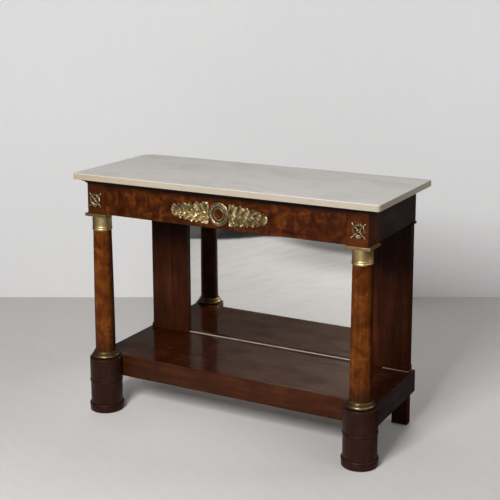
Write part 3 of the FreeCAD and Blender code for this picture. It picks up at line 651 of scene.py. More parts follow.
@dataclass(frozen=True)
class Plaster:
    """Pale studio floor or wall with faint wipes; reflections see the unlit room beyond its lit part.

    Attributes:
        name: the material's name.
        pale: its lighter colour.
        deep: its darker colour.
        roughness: its roughness.
        lit: the lit part.
        front: Y of the lit part's front, in metres.
        skew: how fast that front moves along X.
        shades: soft shades on the lit part.
        unlit: colour of the unlit room.
        glow: a paler spot in the unlit room.
        painted_light_pool: a pool of painted light that every ray sees paler.
        painted_light_tone: colour of that pool.
        one_sided: whether its back can be seen through.
    """

    name: str
    pale: Colour
    deep: Colour
    roughness: float
    lit: Patch
    front: float
    skew: float = 0.0
    shades: tuple[Patch, ...] = ()
    unlit: Colour = (0.004, 0.007, 0.009)
    glow: Patch | None = None
    painted_light_pool: Patch | None = None
    painted_light_tone: Colour = (0.96, 0.93, 0.91)
    one_sided: bool = False

    def reflected(self, bench: Bench, place: Wire, colour: Wire) -> Wire:
        """Darken what only reflections see: the room past the lit part, and soft shades on it.

        Args:
            bench: the material.
            place: object coordinates.
            colour: colour of the lit part.

        Returns:
            The colour to show.
        """
        glossy = bench.node("ShaderNodeLightPath", output="Is Glossy Ray")
        wander = 0.14 * (bench.noise(place, 4.0, 3.0) - 0.5)
        depth = bench.part(place, "Y") + bench.part(place, "X") * self.skew + wander
        near = depth.between(self.front - 0.02, self.front + 0.03)
        near = near * (1.0 - self.lit.distance(bench, place).between(0.9, 1.05))
        if self.glow:
            spill = (1.0 - self.glow.distance(bench, place).between(0.2, 1.0)) * self.glow.strength
            near = near + (1.0 - near) * spill
        for shade in self.shades:
            cover = 1.0 - shade.distance(bench, place).between(0.3, 1.05)
            colour = bench.mix(glossy * cover * shade.strength, colour, self.unlit)
        return bench.mix(glossy * (1.0 - near), colour, self.unlit)

    def build(self) -> bpy.types.Material:
        """Make the material.

        Returns:
            The material.
        """
        bench = Bench(self.name)
        place = bench.space()
        clouds = bench.noise(place, 1.3, 5.0, 0.3)
        wipes = bench.noise(bench.warp(bench.space(scale=(1.0, 6.0, 1.0), turn=(0.0, 0.0, 0.5)), 2.0, 0.1), 6.0, 5.0)
        fine = bench.noise(place, 80.0, 4.0, 0.0, 0.7)
        tone = clouds * 0.4 + wipes * 0.3 + fine * 0.3
        colour = bench.ramp(tone, [(0.35, self.deep), (0.62, self.pale)])
        # Painted light: a paler pool on the floor that every ray sees.
        if self.painted_light_pool:
            cover = (1.0 - self.painted_light_pool.distance(bench, place).between(0.1, 1.0)) * self.painted_light_pool.strength
            colour = bench.mix(cover, colour, self.painted_light_tone)
        bench.set(Base_Color=self.reflected(bench, place, colour), Roughness=self.roughness, Specular_IOR_Level=0.1)
        if self.one_sided:
            behind = bench.node("ShaderNodeNewGeometry", output="Backfacing")
            clear = bench.node("ShaderNodeBsdfTransparent")
            front = Wire(bench, bench.shader.outputs[0])
            shown = bench.node("ShaderNodeMixShader", inputs={0: behind, 1: front, 2: clear})
            bench.join(shown, bench.tree.nodes["Material Output"].inputs["Surface"])
        return bench.material


@dataclass
class Palette:
    """Every finish of the table, made once."""

    flame: bpy.types.Material = field(init=False)
    block: bpy.types.Material = field(init=False)
    column: bpy.types.Material = field(init=False)
    drum: bpy.types.Material = field(init=False)
    shelf: bpy.types.Material = field(init=False)
    shelf_front: bpy.types.Material = field(init=False)
    rear: bpy.types.Material = field(init=False)
    plinth: bpy.types.Material = field(init=False)
    end: bpy.types.Material = field(init=False)
    cornice: bpy.types.Material = field(init=False)
    carcass: bpy.types.Material = field(init=False)
    carcass_cross: bpy.types.Material = field(init=False)
    gilt: bpy.types.Material = field(init=False)
    roundel: bpy.types.Material = field(init=False)
    wreath: bpy.types.Material = field(init=False)
    brass: bpy.types.Material = field(init=False)
    plate: bpy.types.Material = field(init=False)
    ring: bpy.types.Material = field(init=False)
    marble: bpy.types.Material = field(init=False)
    mirror: bpy.types.Material = field(init=False)
    painted_glint_edge: bpy.types.Material = field(init=False)

    def __post_init__(self) -> None:
        """Build the materials."""
        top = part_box("marble_top")
        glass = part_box("mirror_glass")
        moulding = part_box("cornice_front")[0].z
        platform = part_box("shelf_board")[1].z
        axis = middle_of("column_shaft_left").y * MM
        # Painted shade: the frieze front and the corner blocks darken just under the slab's overhang.
        darkening = (0.006, 0.0022, 0.001)
        painted_overhang_shade = (Tint("Z", moulding - 0.02, moulding - 0.001, darkening, 0.7),)
        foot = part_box("column_base_rings")[1].z
        # Painted shade on the column's back, away from the lamps, and a tint that darkens the shaft towards its foot.
        painted_back_shade_and_dark_foot = (Tint("Y", axis - 0.02, axis + 0.012, (0.008, 0.003, 0.0018), 0.88),
                   Tint("Z", foot + 0.11, foot + 0.005, (0.022, 0.007, 0.003), 0.6))
        # Painted shade: the rear pieces darken upwards, under the frieze.
        shaded = (Tint("Z", 0.5, 0.6, darkening, 0.6),)
        # Painted highlight: a pale band along the foot of the right plinth, where it meets the shelf.
        painted_foot_highlight = (Tint("Z", platform + 0.0027, platform + 0.0018, (0.44, 0.31, 0.25), 1.0),)
        self.flame = Mahogany("flame_mahogany", (0.01, 0.002, 0.0004), (0.051, 0.0105, 0.0013), (0.148, 0.039, 0.005),
                              Grain.ALONG_X, 0.72, 25.0, 0.34, tints=painted_overhang_shade).build()
        self.block = Mahogany("block_mahogany", (0.026, 0.0053, 0.0012), (0.067, 0.0145, 0.0022), (0.132, 0.036, 0.006),
                              Grain.ALONG_X, 0.45, 15.0, 0.34, shift=(0.4, 0.0, 0.1),
                              tints=(*painted_overhang_shade, Tint("X", 0.3, -0.3, (0.03, 0.006, 0.0015), 0.4))).build()
        self.column = Mahogany("column_mahogany", (0.024, 0.0055, 0.001), (0.11, 0.0275, 0.0042), (0.245, 0.072, 0.011),
                               Grain.ALONG_Z, 0.55, 24.0, 0.32, shine=0.05, tints=painted_back_shade_and_dark_foot).build()
        self.drum = Mahogany("drum_mahogany", (0.012, 0.0035, 0.0022), (0.024, 0.007, 0.0042), (0.044, 0.013, 0.008),
                             Grain.ALONG_Z, 0.4, 12.0, 0.36).build()
        self.shelf = Mahogany("shelf_mahogany", (0.012, 0.0023, 0.0008), (0.034, 0.007, 0.0018), (0.078, 0.02, 0.0045),
                              Grain.ALONG_X, 0.5, 11.0, 0.3, coat=1.0, shine=0.02, patches=0.05, wear=0.62).build()
        self.shelf_front = Mahogany("shelf_front_mahogany", (0.02, 0.005, 0.0012), (0.047, 0.0118, 0.0032),
                                    (0.092, 0.026, 0.0065), Grain.ALONG_X, 0.4, 9.0, 0.36).build()
        rear = Mahogany("rear_mahogany", (0.016, 0.004, 0.0014), (0.04, 0.0098, 0.0034), (0.084, 0.0205, 0.0068),
                        Grain.ALONG_Z, 0.3, 10.0, 0.34, shine=0.06, tints=shaded)
        self.rear = rear.build()
        self.plinth = replace(rear, name="plinth_mahogany_painted_highlight", tints=painted_foot_highlight).build()
        # Painted shade and reflection: a greyer, dimmer copy of the mahogany for the end faces of the frieze and the
        # shelf.
        self.end = Mahogany("end_mahogany_painted_shade", (0.0165, 0.0115, 0.0108), (0.033, 0.0235, 0.0215), (0.058, 0.041, 0.035),
                            Grain.ALONG_Y, 0.35, 10.0, 0.5, shine=0.03).build()
        # Painted shade: a near-black copy of the mahogany for the cornice, the frieze's top rail and the pilaster caps,
        # under the slab and the frieze.
        self.cornice = Mahogany("cornice_mahogany_painted_shade", (0.004, 0.0015, 0.0008), (0.01, 0.0032, 0.0018),
                                (0.02, 0.0065, 0.0035), Grain.ALONG_X, 0.3, 10.0, 0.36).build()
        self.carcass = PlainTimber("carcass_timber", (0.26, 0.15, 0.07)).build()
        self.carcass_cross = PlainTimber("carcass_timber_cross", (0.24, 0.14, 0.065), Grain.ALONG_Y).build()
        self.gilt = GiltBronze("gilt_bronze", (1.0, 0.8, 0.42), (0.13, 0.098, 0.038), (0.022, 0.014, 0.005), 0.24,
                               ridge_highlight=8.0, hollow=0.007, chased=1.5, clouding=190.0).build()
        self.roundel = GiltBronze("roundel_bronze", (0.56, 0.45, 0.25), (0.085, 0.064, 0.03), (0.02, 0.014, 0.006),
                                  0.24, ridge_highlight=8.0, hollow=0.012, chased=1.2, clouding=190.0).build()
        self.wreath = GiltBronze("wreath_bronze", (0.34, 0.27, 0.155), (0.05, 0.036, 0.019), (0.016, 0.011, 0.006),
                                 0.3, ridge_highlight=8.0, hollow=0.006, chased=1.0, clouding=210.0).build()
        self.plate = GiltBronze("plate_brass", (0.36, 0.26, 0.115), (0.2, 0.14, 0.06), (0.05, 0.036, 0.015),
                                0.4, hollow=0.006, lathe=0.2).build()
        self.brass = GiltBronze("sleeve_brass", (0.58, 0.45, 0.22), (0.31, 0.235, 0.108), (0.08, 0.06, 0.025),
                                0.34, hollow=0.006, lathe=0.4).build()
        self.ring = GiltBronze("ring_brass", (0.165, 0.125, 0.056), (0.06, 0.043, 0.02), (0.02, 0.015, 0.008),
                               0.32, ridge_highlight=3.0, hollow=0.008, lathe=0.15).build()
        self.marble = HonedMarble("pale_marble", (0.79, 0.76, 0.71), (0.66, 0.64, 0.605), (0.8, 0.725, 0.6),
                                  (0.455, 0.395, 0.315), (0.46, 0.33, 0.185), top[1].z - 0.0008, top[0].x).build()
        self.mirror = OldMirror("old_mirror", (0.85, 0.845, 0.82), (0.1, 0.09, 0.08), glass[1].x, glass[0].z,
                                glass[1].z).build()
        self.painted_glint_edge = PaintedGlintEdge("painted_glint_glass", (0.7, 0.64, 0.54), (0.42, 0.36, 0.29)).build()


# ---- shaping helpers ----

Profile = list[tuple[float, float]]


def bend(start: tuple[float, float], end: tuple[float, float], bulge: float, steps: int = 8) -> Profile:
    """Points of a shallow arc between two points of an outline.

    Args:
        start: first (radius, height), left out of the result.
        end: last (radius, height).
        bulge: how far the middle stands off the chord, outwards where positive.
        steps: number of runs.

    Returns:
        The points after start.
    """
    along = Vector(end) - Vector(start)
    side = Vector((along.y, -along.x)).normalized()
    points = []
    for index in range(1, steps + 1):
        share = index / steps
        point = Vector(start) + along * share + side * bulge * 4.0 * share * (1.0 - share)
        points.append((point.x, point.y))
    return points


def turned(profile: Profile, steps: int = 96) -> bmesh.types.BMesh:
    """Spin an outline of (radius, height) points in millimetres about the Z axis.

    Args:
        profile: the outline; it closes on the axis, or on itself where it starts off the axis.
        steps: segments of the full turn.

    Returns:
        The turned shape in metres, about the Z axis.
    """
    shape = bmesh.new()
    ring = [shape.verts.new((radius * MM, 0.0, height * MM)) for radius, height in profile]
    edges = [shape.edges.new(pair) for pair in zip(ring, ring[1:])]
    if profile[0][0] > 0.0:
        edges.append(shape.edges.new((ring[-1], ring[0])))
    bmesh.ops.spin(shape, geom=ring + edges, cent=(0.0, 0.0, 0.0), axis=(0.0, 0.0, 1.0), dvec=(0.0, 0.0, 0.0),
                   angle=2.0 * math.pi, steps=steps, use_merge=True, use_duplicate=False)
    bmesh.ops.remove_doubles(shape, verts=shape.verts, dist=MERGE)
    bmesh.ops.recalc_face_normals(shape, faces=shape.faces)
    return shape


def eased_copy(node: str, width: float, wanted: Callable[[Vector], bool] = lambda middle: True,
               segments: int = 2, flat_area: float = 5e-4) -> bmesh.types.BMesh:
    """Copy a CAD node's mesh and round its sharp edges; its large faces stay truly flat.

    Args:
        node: the CAD node.
        width: size of the rounding in millimetres.
        wanted: test on an edge's middle point, in metres.
        segments: faces across the rounding.
        flat_area: area in square metres above which a broad face is shaded flat.

    Returns:
        The eased shape.
    """
    shape = bmesh.new()
    shape.from_mesh(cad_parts[node].data)
    bmesh.ops.remove_doubles(shape, verts=shape.verts, dist=MERGE)
    bmesh.ops.dissolve_limit(shape, angle_limit=FLAT_ANGLE, verts=shape.verts, edges=shape.edges)
    sharp = [edge for edge in shape.edges if edge.is_manifold and edge.calc_face_angle(0.0) > SHARP_ANGLE
             and wanted((edge.verts[0].co + edge.verts[1].co) * 0.5)]
    bmesh.ops.bevel(shape, geom=sharp, offset=width * MM, segments=segments, profile=0.5, affect="EDGES",
                    material=-1, clamp_overlap=True)
    for face in shape.faces:
        area = face.calc_area()
        face.smooth = area < flat_area or area < NARROW * face.calc_perimeter()
    return shape


def joined(shapes: Sequence[bmesh.types.BMesh]) -> bmesh.types.BMesh:
    """Put several shapes into one.

    Args:
        shapes: the shapes; they are freed.

    Returns:
        The whole.
    """
    whole = bmesh.new()
    for shape in shapes:
        mesh = bpy.data.meshes.new("part")
        shape.to_mesh(mesh)
        shape.free()
        whole.from_mesh(mesh)
        bpy.data.meshes.remove(mesh)
    return whole


def moved(shape: bmesh.types.BMesh, matrix: Matrix) -> bmesh.types.BMesh:
    """Transform a whole shape, turning its faces back out after a mirroring matrix.

    Args:
        shape: the shape, which is changed.
        matrix: the transform.

    Returns:
        The same shape.
    """
    bmesh.ops.transform(shape, matrix=matrix, verts=shape.verts)
    if matrix.determinant() < 0.0:
        bmesh.ops.reverse_faces(shape, faces=shape.faces)
    return shape


def tube(points: Sequence[Vector], radii: Sequence[float]) -> bmesh.types.BMesh:
    """Round rod that follows points.

    Args:
        points: the points, in millimetres; the rod ends at the first and the last.
        radii: its radius at each point.

    Returns:
        The rod.
    """
    curve = bpy.data.curves.new("rod", "CURVE")
    curve.dimensions = "3D"
    curve.bevel_depth = MM
    curve.bevel_resolution = 2
    curve.resolution_u = 4
    curve.use_fill_caps = True
    spline = curve.splines.new("NURBS")
    spline.points.add(len(points) - 1)
    for point, place, radius in zip(spline.points, points, radii):
        point.co = (*(place * MM), 1.0)
        point.radius = radius
    spline.order_u = 3
    spline.use_endpoint_u = True
    holder = bpy.data.objects.new("rod", curve)
    mesh = bpy.data.meshes.new_from_object(holder)
    shape = bmesh.new()
    shape.from_mesh(mesh)
    bmesh.ops.remove_doubles(shape, verts=shape.verts, dist=MERGE)
    bmesh.ops.recalc_face_normals(shape, faces=shape.faces)
    bpy.data.meshes.remove(mesh)
    bpy.data.objects.remove(holder)
    bpy.data.curves.remove(curve)
    return shape


def leaf(length: float, width: float, arch: float, ridge: float, curl: float = 0.0, sweep: float = 0.0,
         cells: tuple[int, int] = (5, 2)) -> bmesh.types.BMesh:
    """Ridged leaf that lies along +X with its face to -Y and its root at the origin.

    Args:
        length: root to tip, in millimetres.
        width: greatest width.
        arch: height of its back over its root.
        ridge: height of the middle rib over the edges.
        curl: how far the tip lifts.
        sweep: how far the tip bends towards +Z.
        cells: faces along and across its front.

    Returns:
        The leaf, closed.
    """
    shape = bmesh.new()
    bmesh.ops.create_grid(shape, x_segments=cells[0], y_segments=cells[1], size=0.5)
    for vert in shape.verts:
        share = vert.co.x + 0.5
        side = vert.co.y * 2.0
        girth = max(0.1, math.sin(math.pi * min(1.0, 0.06 + 0.94 * share) ** 0.8))
        lift = arch * math.sin(math.pi * share * 0.85) + ridge * (1.0 - abs(side)) * girth + curl * share ** 4
        vert.co = Vector((length * share, -lift, width * 0.5 * side * girth + sweep * share ** 2)) * MM
    bmesh.ops.solidify(shape, geom=shape.faces[:], thickness=LEAF_THICKNESS)
    bmesh.ops.recalc_face_normals(shape, faces=shape.faces)
    return shape


def pearl(radius: float, squash: float = 1.0) -> bmesh.types.BMesh:
    """Small round bead about the origin.

    Args:
        radius: its radius, in millimetres.
        squash: its thickness along Y, as a share.

    Returns:
        The bead.
    """
    shape = bmesh.new()
    bmesh.ops.create_icosphere(shape, subdivisions=2, radius=radius * MM)
    return moved(shape, Matrix.Diagonal((1.0, squash, 1.0, 1.0)))


def laid(shape: bmesh.types.BMesh, x: float, z: float, y: float = 0.0, turn: float = 0.0) -> bmesh.types.BMesh:
    """Turn a shape in the frieze's plane, in degrees, and set it at a place, in millimetres."""
    spin = Matrix.Rotation(math.radians(-turn), 4, "Y")
    return moved(shape, Matrix.Translation(Vector((x, y, z)) * MM) @ spin)


def finish_piece(name: str, shape: bmesh.types.BMesh, material: bpy.types.Material, body: str,
                 nodes: Sequence[str] = (), crease: float = 32.0) -> bpy.types.Object:
    """Turn a shape into a finished piece that rides on the frame.

    Args:
        name: the piece's name.
        shape: its form in metres, in the frame's space; it is freed.
        material: its finish.
        body: the CAD body that it rides on.
        nodes: CAD nodes that it stands for.
        crease: angle in degrees above which an edge stays sharp.

    Returns:
        The object.
    """
    mesh = bpy.data.meshes.new(name)
    if not any(face.smooth for face in shape.faces):
        for face in shape.faces:
            face.smooth = True
    flat = [not face.smooth for face in shape.faces]
    shape.to_mesh(mesh)
    shape.free()
    mesh.materials.append(material)
    mesh.set_sharp_from_angle(angle=math.radians(crease))
    for face, stays_flat in zip(mesh.polygons, flat):
        face.use_smooth = not stays_flat
    piece = bpy.data.objects.new(name, mesh)
    bpy.context.scene.collection.objects.link(piece)
    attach(piece, body)
    if nodes:
        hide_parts(*nodes)
    LOG.info("%s: %d faces on %s", name, len(mesh.polygons), body)
    return piece


def dress(node: str, material: bpy.types.Material) -> None:
    """Give a CAD node that stays its finish.

    Args:
        node: the CAD node.
        material: its finish.
    """
    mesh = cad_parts[node].data
    mesh.materials.clear()
    mesh.materials.append(material)
    LOG.info("%s: keeps its solid", node)


def middle_of(node: str) -> Vector:
    """Middle of a CAD node's box, in millimetres."""
    low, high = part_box(node)
    return (low + high) * 0.5 / MM


class Side(Enum):
    """The two ends of the table."""

    RIGHT = "right"
    LEFT = "left"


# ---- sub-assemblies: sizes in millimetres, angles in degrees ----

@dataclass
class MarbleTop:
    """The loose marble slab."""

    palette: Palette
    arris: float = 0.9
    arris_steps: int = 3

    def build(self) -> None:
        """Round the slab's arrises."""
        shape = eased_copy("marble_top", self.arris, segments=self.arris_steps)
        finish_piece("marble_slab", shape, self.palette.marble, "top", ["marble_top"])


@dataclass
class FriezeCarcass:
    """Corner blocks, ends, rails and the cornice under the slab."""

    palette: Palette
    arris: float = 0.5
    moulding_arris: float = 0.3
    moulding_crease: float = 50.0

    def build(self) -> None:
        """Make the show pieces and dress the hidden ones."""
        for side in Side:
            block = f"corner_block_{side.value}"
            finish_piece(f"block_{side.value}", eased_copy(block, self.arris), self.palette.block, "frame",
                         [block])
            end = f"frieze_end_{side.value}"
            finish_piece(f"end_board_{side.value}", eased_copy(end, self.arris), self.palette.end, "frame",
                         [end])
            self.cornice(f"cornice_end_{side.value}", f"cornice_return_{side.value}")
            for part in ("drawer_runner", "drawer_guide", "drawer_kicker"):
                dress(f"{part}_{side.value}", self.palette.carcass_cross)
        dress("frieze_back_rail", self.palette.carcass)
        dress("frieze_bottom_rail", self.palette.carcass)
        dress("frieze_top_rail", self.palette.cornice)
        self.cornice("cornice_run", "cornice_front")

    def cornice(self, name: str, node: str) -> None:
        """One length of cornice, smooth over its whole hollow."""
        finish_piece(name, eased_copy(node, self.moulding_arris, flat_area=1.0), self.palette.cornice, "frame",
                     [node], self.moulding_crease)


@dataclass
class Drawer:
    """The hidden frieze drawer."""

    palette: Palette
    arris: float = 0.4

    def build(self) -> None:
        """Make the veneered front and dress the box."""
        finish_piece("drawer_face", eased_copy("drawer_front", self.arris), self.palette.flame, "drawer",
                     ["drawer_front"])
        for side in Side:
            dress(f"drawer_side_{side.value}", self.palette.carcass_cross)
        dress("drawer_back", self.palette.carcass)
        dress("drawer_bottom", self.palette.carcass)


@dataclass
class Roundel:
    """Oval roundel with a leafy border, a raised ring and a hollow down to its eye."""

    palette: Palette
    leaves: int = 26
    leaf_length: float = 6.6
    leaf_width: float = 3.6
    leaf_pearl: float = 1.1
    pearls: int = 30
    eye_pearl: float = 0.8
    eye_share: float = 0.46
    ring_share: float = 0.75
    bed: float = 1.4
    ring_rise: float = 6.6
    ring_half: float = 1.4
    crease: float = 60.0

    def build(self) -> None:
        """Turn the oval and lay its leaves and pearls."""
        low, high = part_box("frieze_roundel")
        half_width = (high.x - low.x) * 0.5 / MM
        half_height = (high.z - low.z) * 0.5 / MM
        back = high.y / MM
        middle = middle_of("frieze_roundel")
        eye = half_width * self.eye_share
        ring = half_width * self.ring_share
        inner = ring - self.ring_half
        outer = ring + self.ring_half
        profile = [(eye, 0.0), (eye, 2.6)] + bend((eye, 2.6), (eye + 1.4, 2.2), -0.7, 4)
        profile += [(eye + 2.2, 1.0), (inner - 1.0, 1.0), (inner - 0.4, self.bed + 2.4)]
        profile += bend((inner - 0.4, self.bed + 2.4), (outer, self.bed + 1.2), self.bed + 1.9 - self.ring_rise, 8)
        profile += [(outer + 0.6, self.bed), (half_width - 0.6, self.bed - 0.4), (half_width - 0.1, 0.0)]
        shapes = [moved(turned(profile, 72), UPRIGHT)]
        lane = (outer + half_width) * 0.5
        for index in range(self.leaves):
            spin = Matrix.Rotation(2.0 * math.pi * index / self.leaves, 4, "Y")
            for row in (-1.0, 1.0):
                uneven = math.sin(5.7 * index + row)
                blade = leaf(self.leaf_length + uneven, self.leaf_width, 1.4, 1.8, 1.6 + uneven, row * 0.8, (4, 2))
                blade = laid(blade, -3.4, lane + row * 1.3 - 0.6, -self.bed - 0.4 * row, row * (14.0 + 16.0 * uneven))
                shapes.append(moved(blade, spin))
            dot = laid(pearl(self.leaf_pearl), 1.6, lane + 0.2 * (index % 3), -self.bed - 2.4)
            shapes.append(moved(dot, spin))
        for index in range(self.pearls):
            angle = 2.0 * math.pi * index / self.pearls
            reach = eye + 3.0
            shapes.append(laid(pearl(self.eye_pearl), reach * math.cos(angle), reach * math.sin(angle), -2.2))
        whole = joined(shapes)
        stretch = Matrix.Diagonal((1.0, 1.0, half_height / half_width, 1.0))
        place = Matrix.Translation(Vector((middle.x, back, middle.z)) * MM)
        finish_piece("roundel", moved(whole, place @ stretch), self.palette.roundel, "drawer",
                     ["frieze_roundel"], self.crease)


@dataclass
class Spray:
    """Blunt acanthus spray beside the roundel: a ribbed bed, lobes of small leaflets, scrolls and a hooded tip."""

    palette: Palette
    root_half: float = 37.6
    taper: float = 0.00122
    hood: float = 15.5
    scallop: float = 4.5
    margin: float = 5.0
    rib_rise: float = 0.6
    rib_pitch: float = 5.4
    lobes: int = 6
    lobe_width: float = 7.0
    leaflets: int = 6
    leaflet_length: float = 13.0
    leaflet_width: float = 3.9
    root_scrolls: tuple[float, ...] = (6.6, 3.4)
    buds: int = 14
    rim_steps: int = 13
    rim_radius: float = 1.8
    inner_rim_radius: float = 1.1
    fan_leans: tuple[float, ...] = (-38.0, -13.0, 13.0, 38.0)
    pearls: int = 16
    pearl_radius: float = 1.5
    crease: float = 38.0

    def half_height(self, x: float) -> float:
        """Half height of the spray at a distance from its inner end, in millimetres."""
        return self.root_half - self.taper * x * x

    def bed(self, length: float) -> bmesh.types.BMesh:
        """Thin bed with a scalloped edge, ribbed outwards.

        Args:
            length: the spray's length, in millimetres.

        Returns:
            The bed.
        """
        shape = bmesh.new()
        bmesh.ops.create_grid(shape, x_segments=90, y_segments=26, size=0.5)
        pitch = (length - self.hood) / self.lobes
        for vert in shape.verts:
            x = (vert.co.x + 0.5) * length
            notch = self.scallop * (1.0 - abs(math.sin(math.pi * (x / pitch + 0.2))))
            past = max(0.0, x - (length - self.hood)) / self.hood
            reach = (self.half_height(x) - notch - self.margin) * math.sqrt(max(0.0, 1.0 - past * past))
            z = vert.co.y * 2.0 * max(0.4, reach)
            ribs = self.rib_rise * abs(math.sin(math.pi * (x - 0.75 * abs(z)) / self.rib_pitch))
            vert.co = Vector((x, -(0.7 + ribs), z)) * MM
        bmesh.ops.solidify(shape, geom=shape.faces[:], thickness=0.5 * MM)
        bmesh.ops.recalc_face_normals(shape, faces=shape.faces)
        return shape

    def lobe(self, reach: float, side: float, seed: float) -> bmesh.types.BMesh:
        """One lobe along +X: a broad leaf that carries pairs of small leaflets and ends in a curl.

        Args:
            reach: root to tip, in millimetres.
            side: 1 for the upper edge, -1 for the lower one.
            seed: phase of its unevenness.

        Returns:
            Its shape.
        """
        sweep = -side * 3.0
        shapes = [leaf(reach, self.lobe_width, 0.8, 0.9, 0.8, sweep, (7, 2))]
        for index in range(self.leaflets):
            share = (index + 0.5) / self.leaflets
            for row in (-1.0, 1.0):
                uneven = math.sin(7.3 * index + 2.9 * row + seed)
                blade = leaf(self.leaflet_length - 4.0 * share + 1.5 * uneven, self.leaflet_width, 2.2, 2.4,
                             3.0 + 1.8 * uneven, row * 1.8, (4, 2))
                lean = row * (56.0 - 20.0 * share + 12.0 * uneven)
                shapes.append(laid(blade, reach * share * 0.86, sweep * share * share, -2.8 - 0.8 * uneven, lean))
        shapes.append(self.scroll(Vector((reach - 3.2, 0.0, sweep)), -side, 3.8))
        return joined(shapes)

    def rim(self, length: float) -> list[bmesh.types.BMesh]:
        """Hooded tip: two rods round its edge and a fan of leaves inside them.

        Args:
            length: the spray's length, in millimetres.

        Returns:
            Its parts.
        """
        middle = length - self.hood
        outer = []
        for index in range(self.rim_steps):
            angle = math.radians(-108.0 + 18.0 * index)
            outer.append(Vector((middle + (self.hood - 1.8) * math.cos(angle), -2.2,
                                 (self.hood - 2.4) * math.sin(angle))))
        inner = [place + Vector((-0.35 * (place.x - middle) - 1.0, -0.9, -0.4 * place.z)) for place in outer]
        parts = [tube(outer, [self.rim_radius] * len(outer)), tube(inner, [self.inner_rim_radius] * len(inner))]
        for lean in self.fan_leans:
            parts.append(laid(leaf(12.0, 4.4, 1.6, 1.4, 0.8), middle - 5.0, 0.0, -2.6, lean))
        return parts

    def shape(self, length: float) -> bmesh.types.BMesh:
        """Lay the parts of a spray that starts at the origin and runs along +X.

        Args:
            length: the spray's length, in millimetres.

        Returns:
            The whole spray.
        """
        shapes = [self.bed(length)]
        for side in (1.0, -1.0):
            for index in range(self.lobes):
                share = index / (self.lobes - 1)
                uneven = math.sin(5.3 * index + 1.7 * side)
                lean = 66.0 - 22.0 * share + 4.0 * uneven
                x = 3.0 + (length - 2.1 * self.hood) * share
                reach = (self.half_height(x + 10.0) - 1.0 + uneven) / math.sin(math.radians(lean))
                shapes.append(laid(self.lobe(reach, side, 3.1 * index + side), x, side * 0.5, -1.0 - 0.5 * (index % 2),
                                   side * lean))
            for size in self.root_scrolls:
                shapes.append(self.scroll(Vector((8.4, 0.0, side * (self.root_half - 7.6))), side, size))
        for index in range(self.buds):
            way = (-1.0) ** index
            shapes.append(laid(leaf(9.0, 4.6, 1.6, 1.8, 2.4), 1.5 + (length - 26.0) * index / (self.buds - 1.0),
                               1.6 * way, -4.0, 24.0 * way))
        shapes += self.rim(length)
        for index in range(self.pearls):
            z = (self.root_half - 5.0) * (2.0 * index / (self.pearls - 1) - 1.0)
            shapes.append(laid(pearl(self.pearl_radius, 0.9), 2.0 + 3.4 * (index % 2), z, -2.8))
        return joined(shapes)

    @staticmethod
    def scroll(middle: Vector, side: float, size: float) -> bmesh.types.BMesh:
        """Curled end of a lobe.

        Args:
            middle: its middle, in millimetres.
            side: 1 where it curls upwards, -1 downwards.
            size: its outer radius.

        Returns:
            The scroll.
        """
        points = []
        radii = []
        for index in range(11):
            angle = math.radians(150.0 - 40.0 * index)
            reach = size * (1.0 - index / 13.0)
            points.append(middle + Vector((reach * math.cos(angle), -2.0 - 0.14 * index,
                                           side * reach * math.sin(angle))))
            radii.append(size * (0.24 - 0.008 * index))
        return tube(points, radii)

    def build(self) -> None:
        """Make both sprays."""
        for side in Side:
            node = f"frieze_spray_{side.value}"
            low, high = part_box(node)
            length = (high.x - low.x) / MM
            shape = self.shape(length)
            inner = min(abs(low.x), abs(high.x)) / MM
            place = Matrix.Translation(Vector((inner, high.y / MM, middle_of(node).z)) * MM)
            shape = moved(shape, place)
            if side is Side.LEFT:
                shape = moved(shape, Matrix.Diagonal((-1.0, 1.0, 1.0, 1.0)))
            finish_piece(f"spray_{side.value}", shape, self.palette.gilt, "drawer", [node],
                         self.crease)


